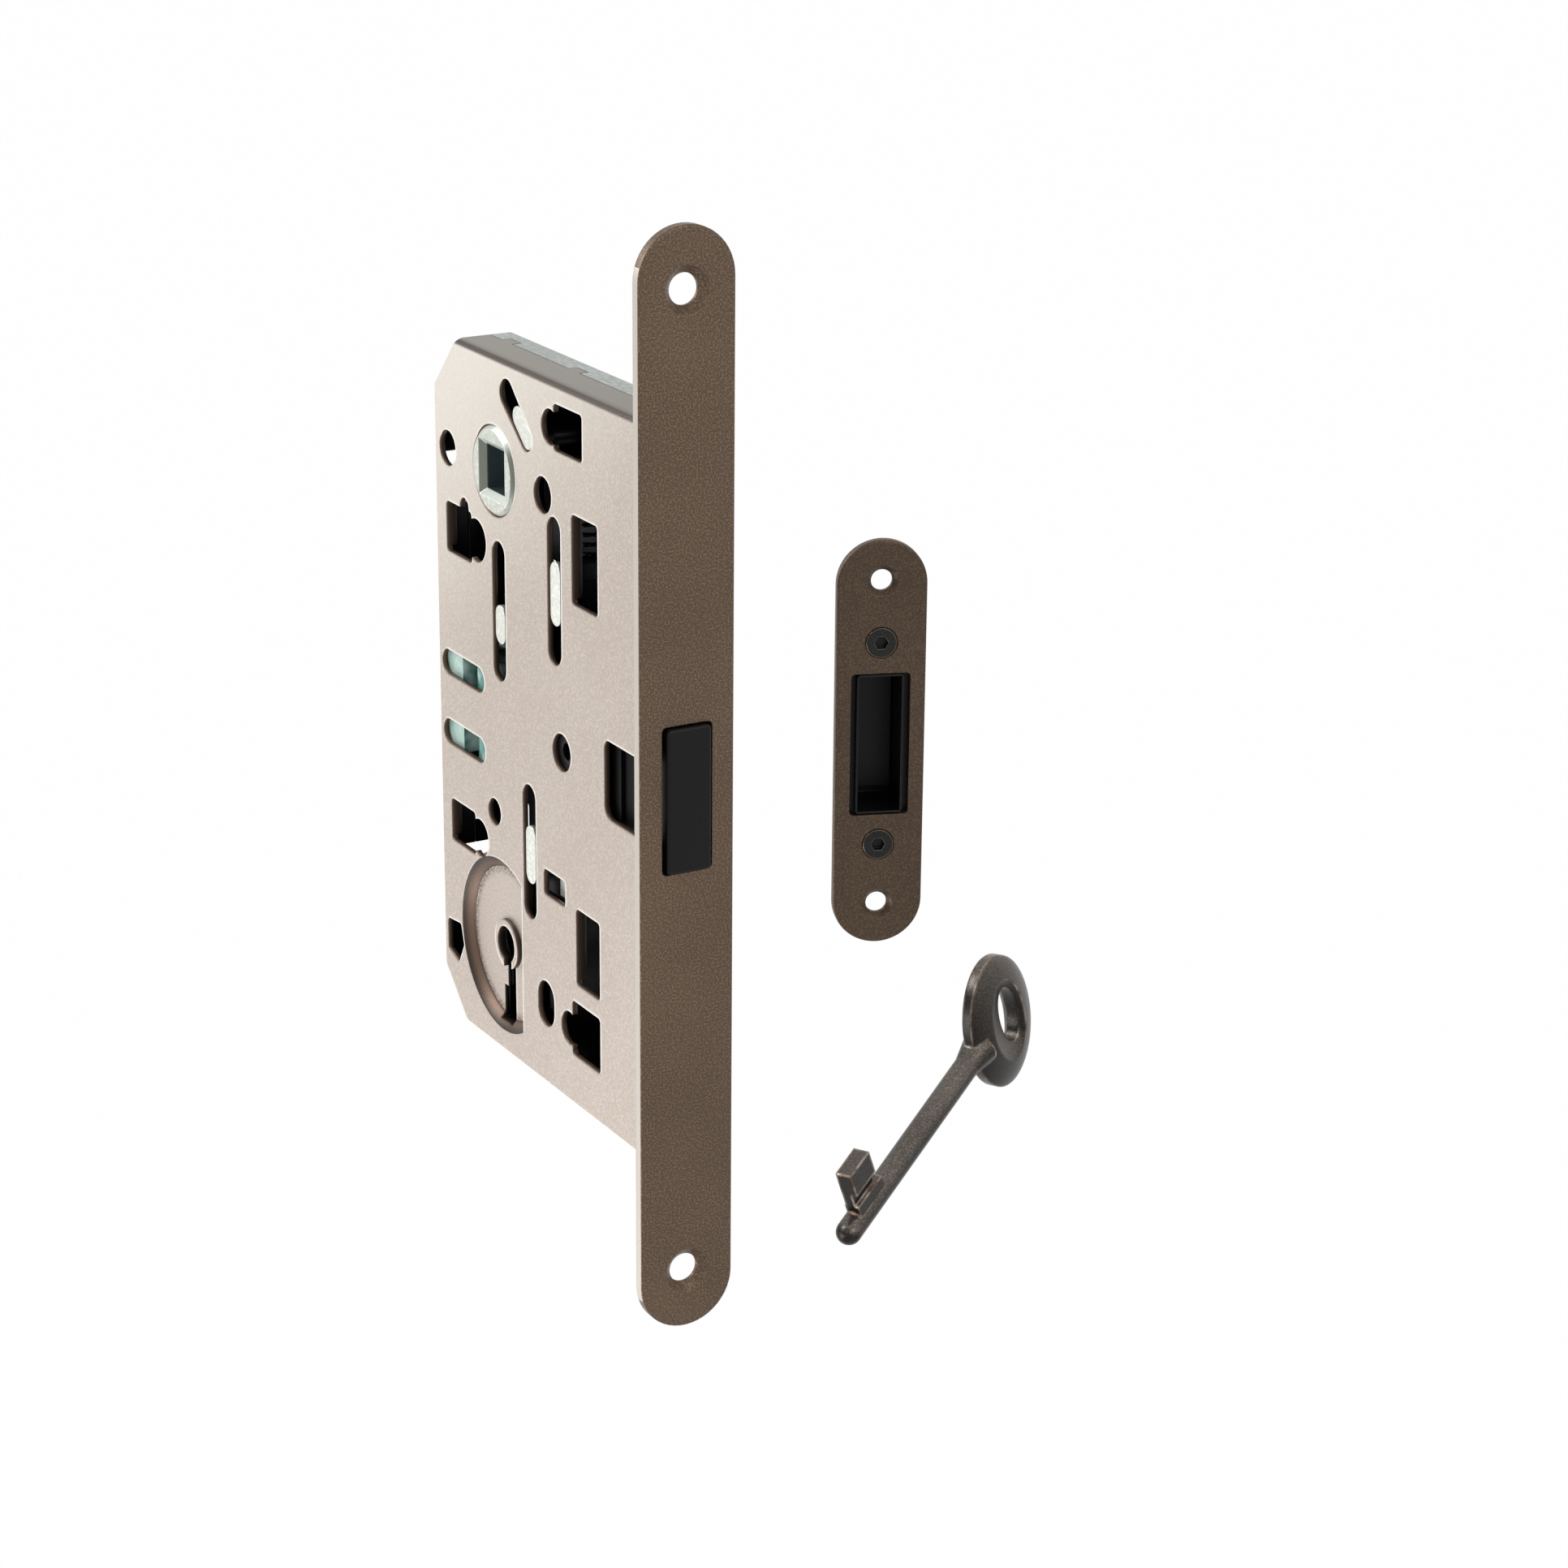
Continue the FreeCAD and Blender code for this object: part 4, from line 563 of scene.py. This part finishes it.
# Strike screws and nuts: steel with a black oxide. The screws' heads lie in the plate, with a painted
# highlight around their rims and painted shade down in their sockets.
INTO_STRIKE = Vector((0.3469, 0.9379, 0.0))
SOCKET_FROM = 0.0003
RIM_HIGHLIGHT = colour(104, 100, 92)
SOCKET_SHADE = colour(4, 4, 4)
black_steel, tree, shader, place = start_material("black_steel", roughness=0.35, metallic=0.6)
paint = place_group(tree, flake, place["Object"], Base=colour(22, 21, 20), Speck=colour(52, 50, 47),
                    Grain=2600.0, Amount=0.35, Cloud=0.3)
edge_normal = rounded(tree, radius=0.0003)
heads = min(v.co.dot(INTO_STRIKE) for v in nodes["strike_screws"].data.vertices)
sunk = maths(tree, "GREATER_THAN", along(tree, place["Object"], INTO_STRIKE), heads + SOCKET_FROM)
rim = ramp(tree, along(tree, edge_normal, -INTO_STRIKE), low=EDGE_FLAT, high=EDGE_SHARP)
# Painted highlight on the head rims and painted shade in the sockets.
wire(tree, mixed(tree, sunk, mixed(tree, rim, paint["Colour"], RIM_HIGHLIGHT), SOCKET_SHADE),
     shader.inputs["Base Color"])
bump(tree, shader, paint["Height"], depth=0.00001, normal=edge_normal)
for dark_part in ("strike_screws", "strike_nuts"):
    dress(dark_part, black_steel)

# Damper block: glossy moulded plastic at the rear of the case, pale green at its stop and dark teal in the
# column before it, with big near-white blotches on the column as a painted highlight. It shows through the
# two slots at the rear.
STOP_FROM = 0.0765
teal_plastic, tree, shader, place = start_material("teal_plastic", roughness=0.22, metallic=0.0, coat=0.4)
pale = place_group(tree, flake, place["Object"], Base=colour(136, 164, 155), Speck=colour(176, 196, 189),
                   Grain=500.0, Amount=0.4, Cloud=0.5)
# Painted highlight: the column's coarse near-white specks.
column_with_highlight = place_group(tree, flake, place["Object"], Base=colour(64, 122, 113), Speck=colour(238, 250, 247),
                   Grain=170.0, Amount=0.75, Cloud=0.8)
at_stop = maths(tree, "GREATER_THAN", parts(tree, place["Object"])["Y"], STOP_FROM)
wire(tree, mixed(tree, at_stop, column_with_highlight["Colour"], pale["Colour"]), shader.inputs["Base Color"])
bump(tree, shader, pale["Height"], depth=0.00001)
dress("damper_block", teal_plastic)

# Strike plate: a bar with round ends like the forend, sprayed in a darker bronze. Its two outer holes take
# the screws into the door frame.
strike_paint, tree, shader, place = start_material("strike_bronze", roughness=0.42, metallic=0.5)
paint = place_group(tree, flake, place["Object"], Base=colour(64, 49, 36), Speck=colour(116, 94, 73),
                    Grain=3000.0, Amount=0.42, Cloud=0.3)
wire(tree, paint["Colour"], shader.inputs["Base Color"])
bump(tree, shader, paint["Height"], depth=0.00003, normal=rounded(tree, radius=0.00025))
dress("strike_plate", strike_paint)

# Key: cast and blackened bronze, in one piece. It is painted lighter where its faces turn up towards a
# light above and darker where they turn away, as painted light and shade. Its edges are rubbed down to
# copper in patches, and the pale patches among them are painted highlights.
KEY_LIGHT_FROM = (0.15, -0.35, 0.92)
KEY_FLAT = 0.995
RUBBED_AND_HIGHLIGHT_SHARE = 0.8
PATCH_LUMPS = 260.0
DARK_COPPER = colour(122, 94, 76)
PALE_EDGE_HIGHLIGHT = colour(206, 194, 180)
key_bronze, tree, shader, place = start_material("key_bronze", roughness=0.3, metallic=0.75)
edge_normal = rounded(tree, radius=0.0011)
dark = place_group(tree, flake, place["Object"], Base=colour(22, 20, 18), Speck=colour(58, 51, 46),
                   Grain=2400.0, Amount=0.5, Cloud=0.8)
light = place_group(tree, flake, place["Object"], Base=colour(82, 76, 70), Speck=colour(146, 136, 127),
                    Grain=2400.0, Amount=0.5, Cloud=0.8)
# Painted light and shade: a lit and a shaded copy of the bronze, mixed by how far each face turns up to the
# light.
upper = ramp(tree, along(tree, edge_normal, KEY_LIGHT_FROM), low=0.30, high=1.0)
metal = mixed(tree, upper, dark["Colour"], light["Colour"])
edge = place_group(tree, edge_wear_and_highlight, edge_normal, Flat=KEY_FLAT)["Mask"]
# Copper where the edges are rubbed, with pale patches as a painted highlight.
patchy = ramp(tree, noise(tree, place["Object"], PATCH_LUMPS, detail=3.0), low=0.38, high=0.62)
copper_and_highlight = mixed(tree, patchy, DARK_COPPER, PALE_EDGE_HIGHLIGHT)
wire(tree, mixed(tree, maths(tree, "MULTIPLY", edge, RUBBED_AND_HIGHLIGHT_SHARE), metal, copper_and_highlight),
     shader.inputs["Base Color"])
bump(tree, shader, dark["Height"], depth=0.00004, normal=edge_normal)
dress("key", key_bronze)

bpy.context.scene.view_settings.view_transform = "Standard"
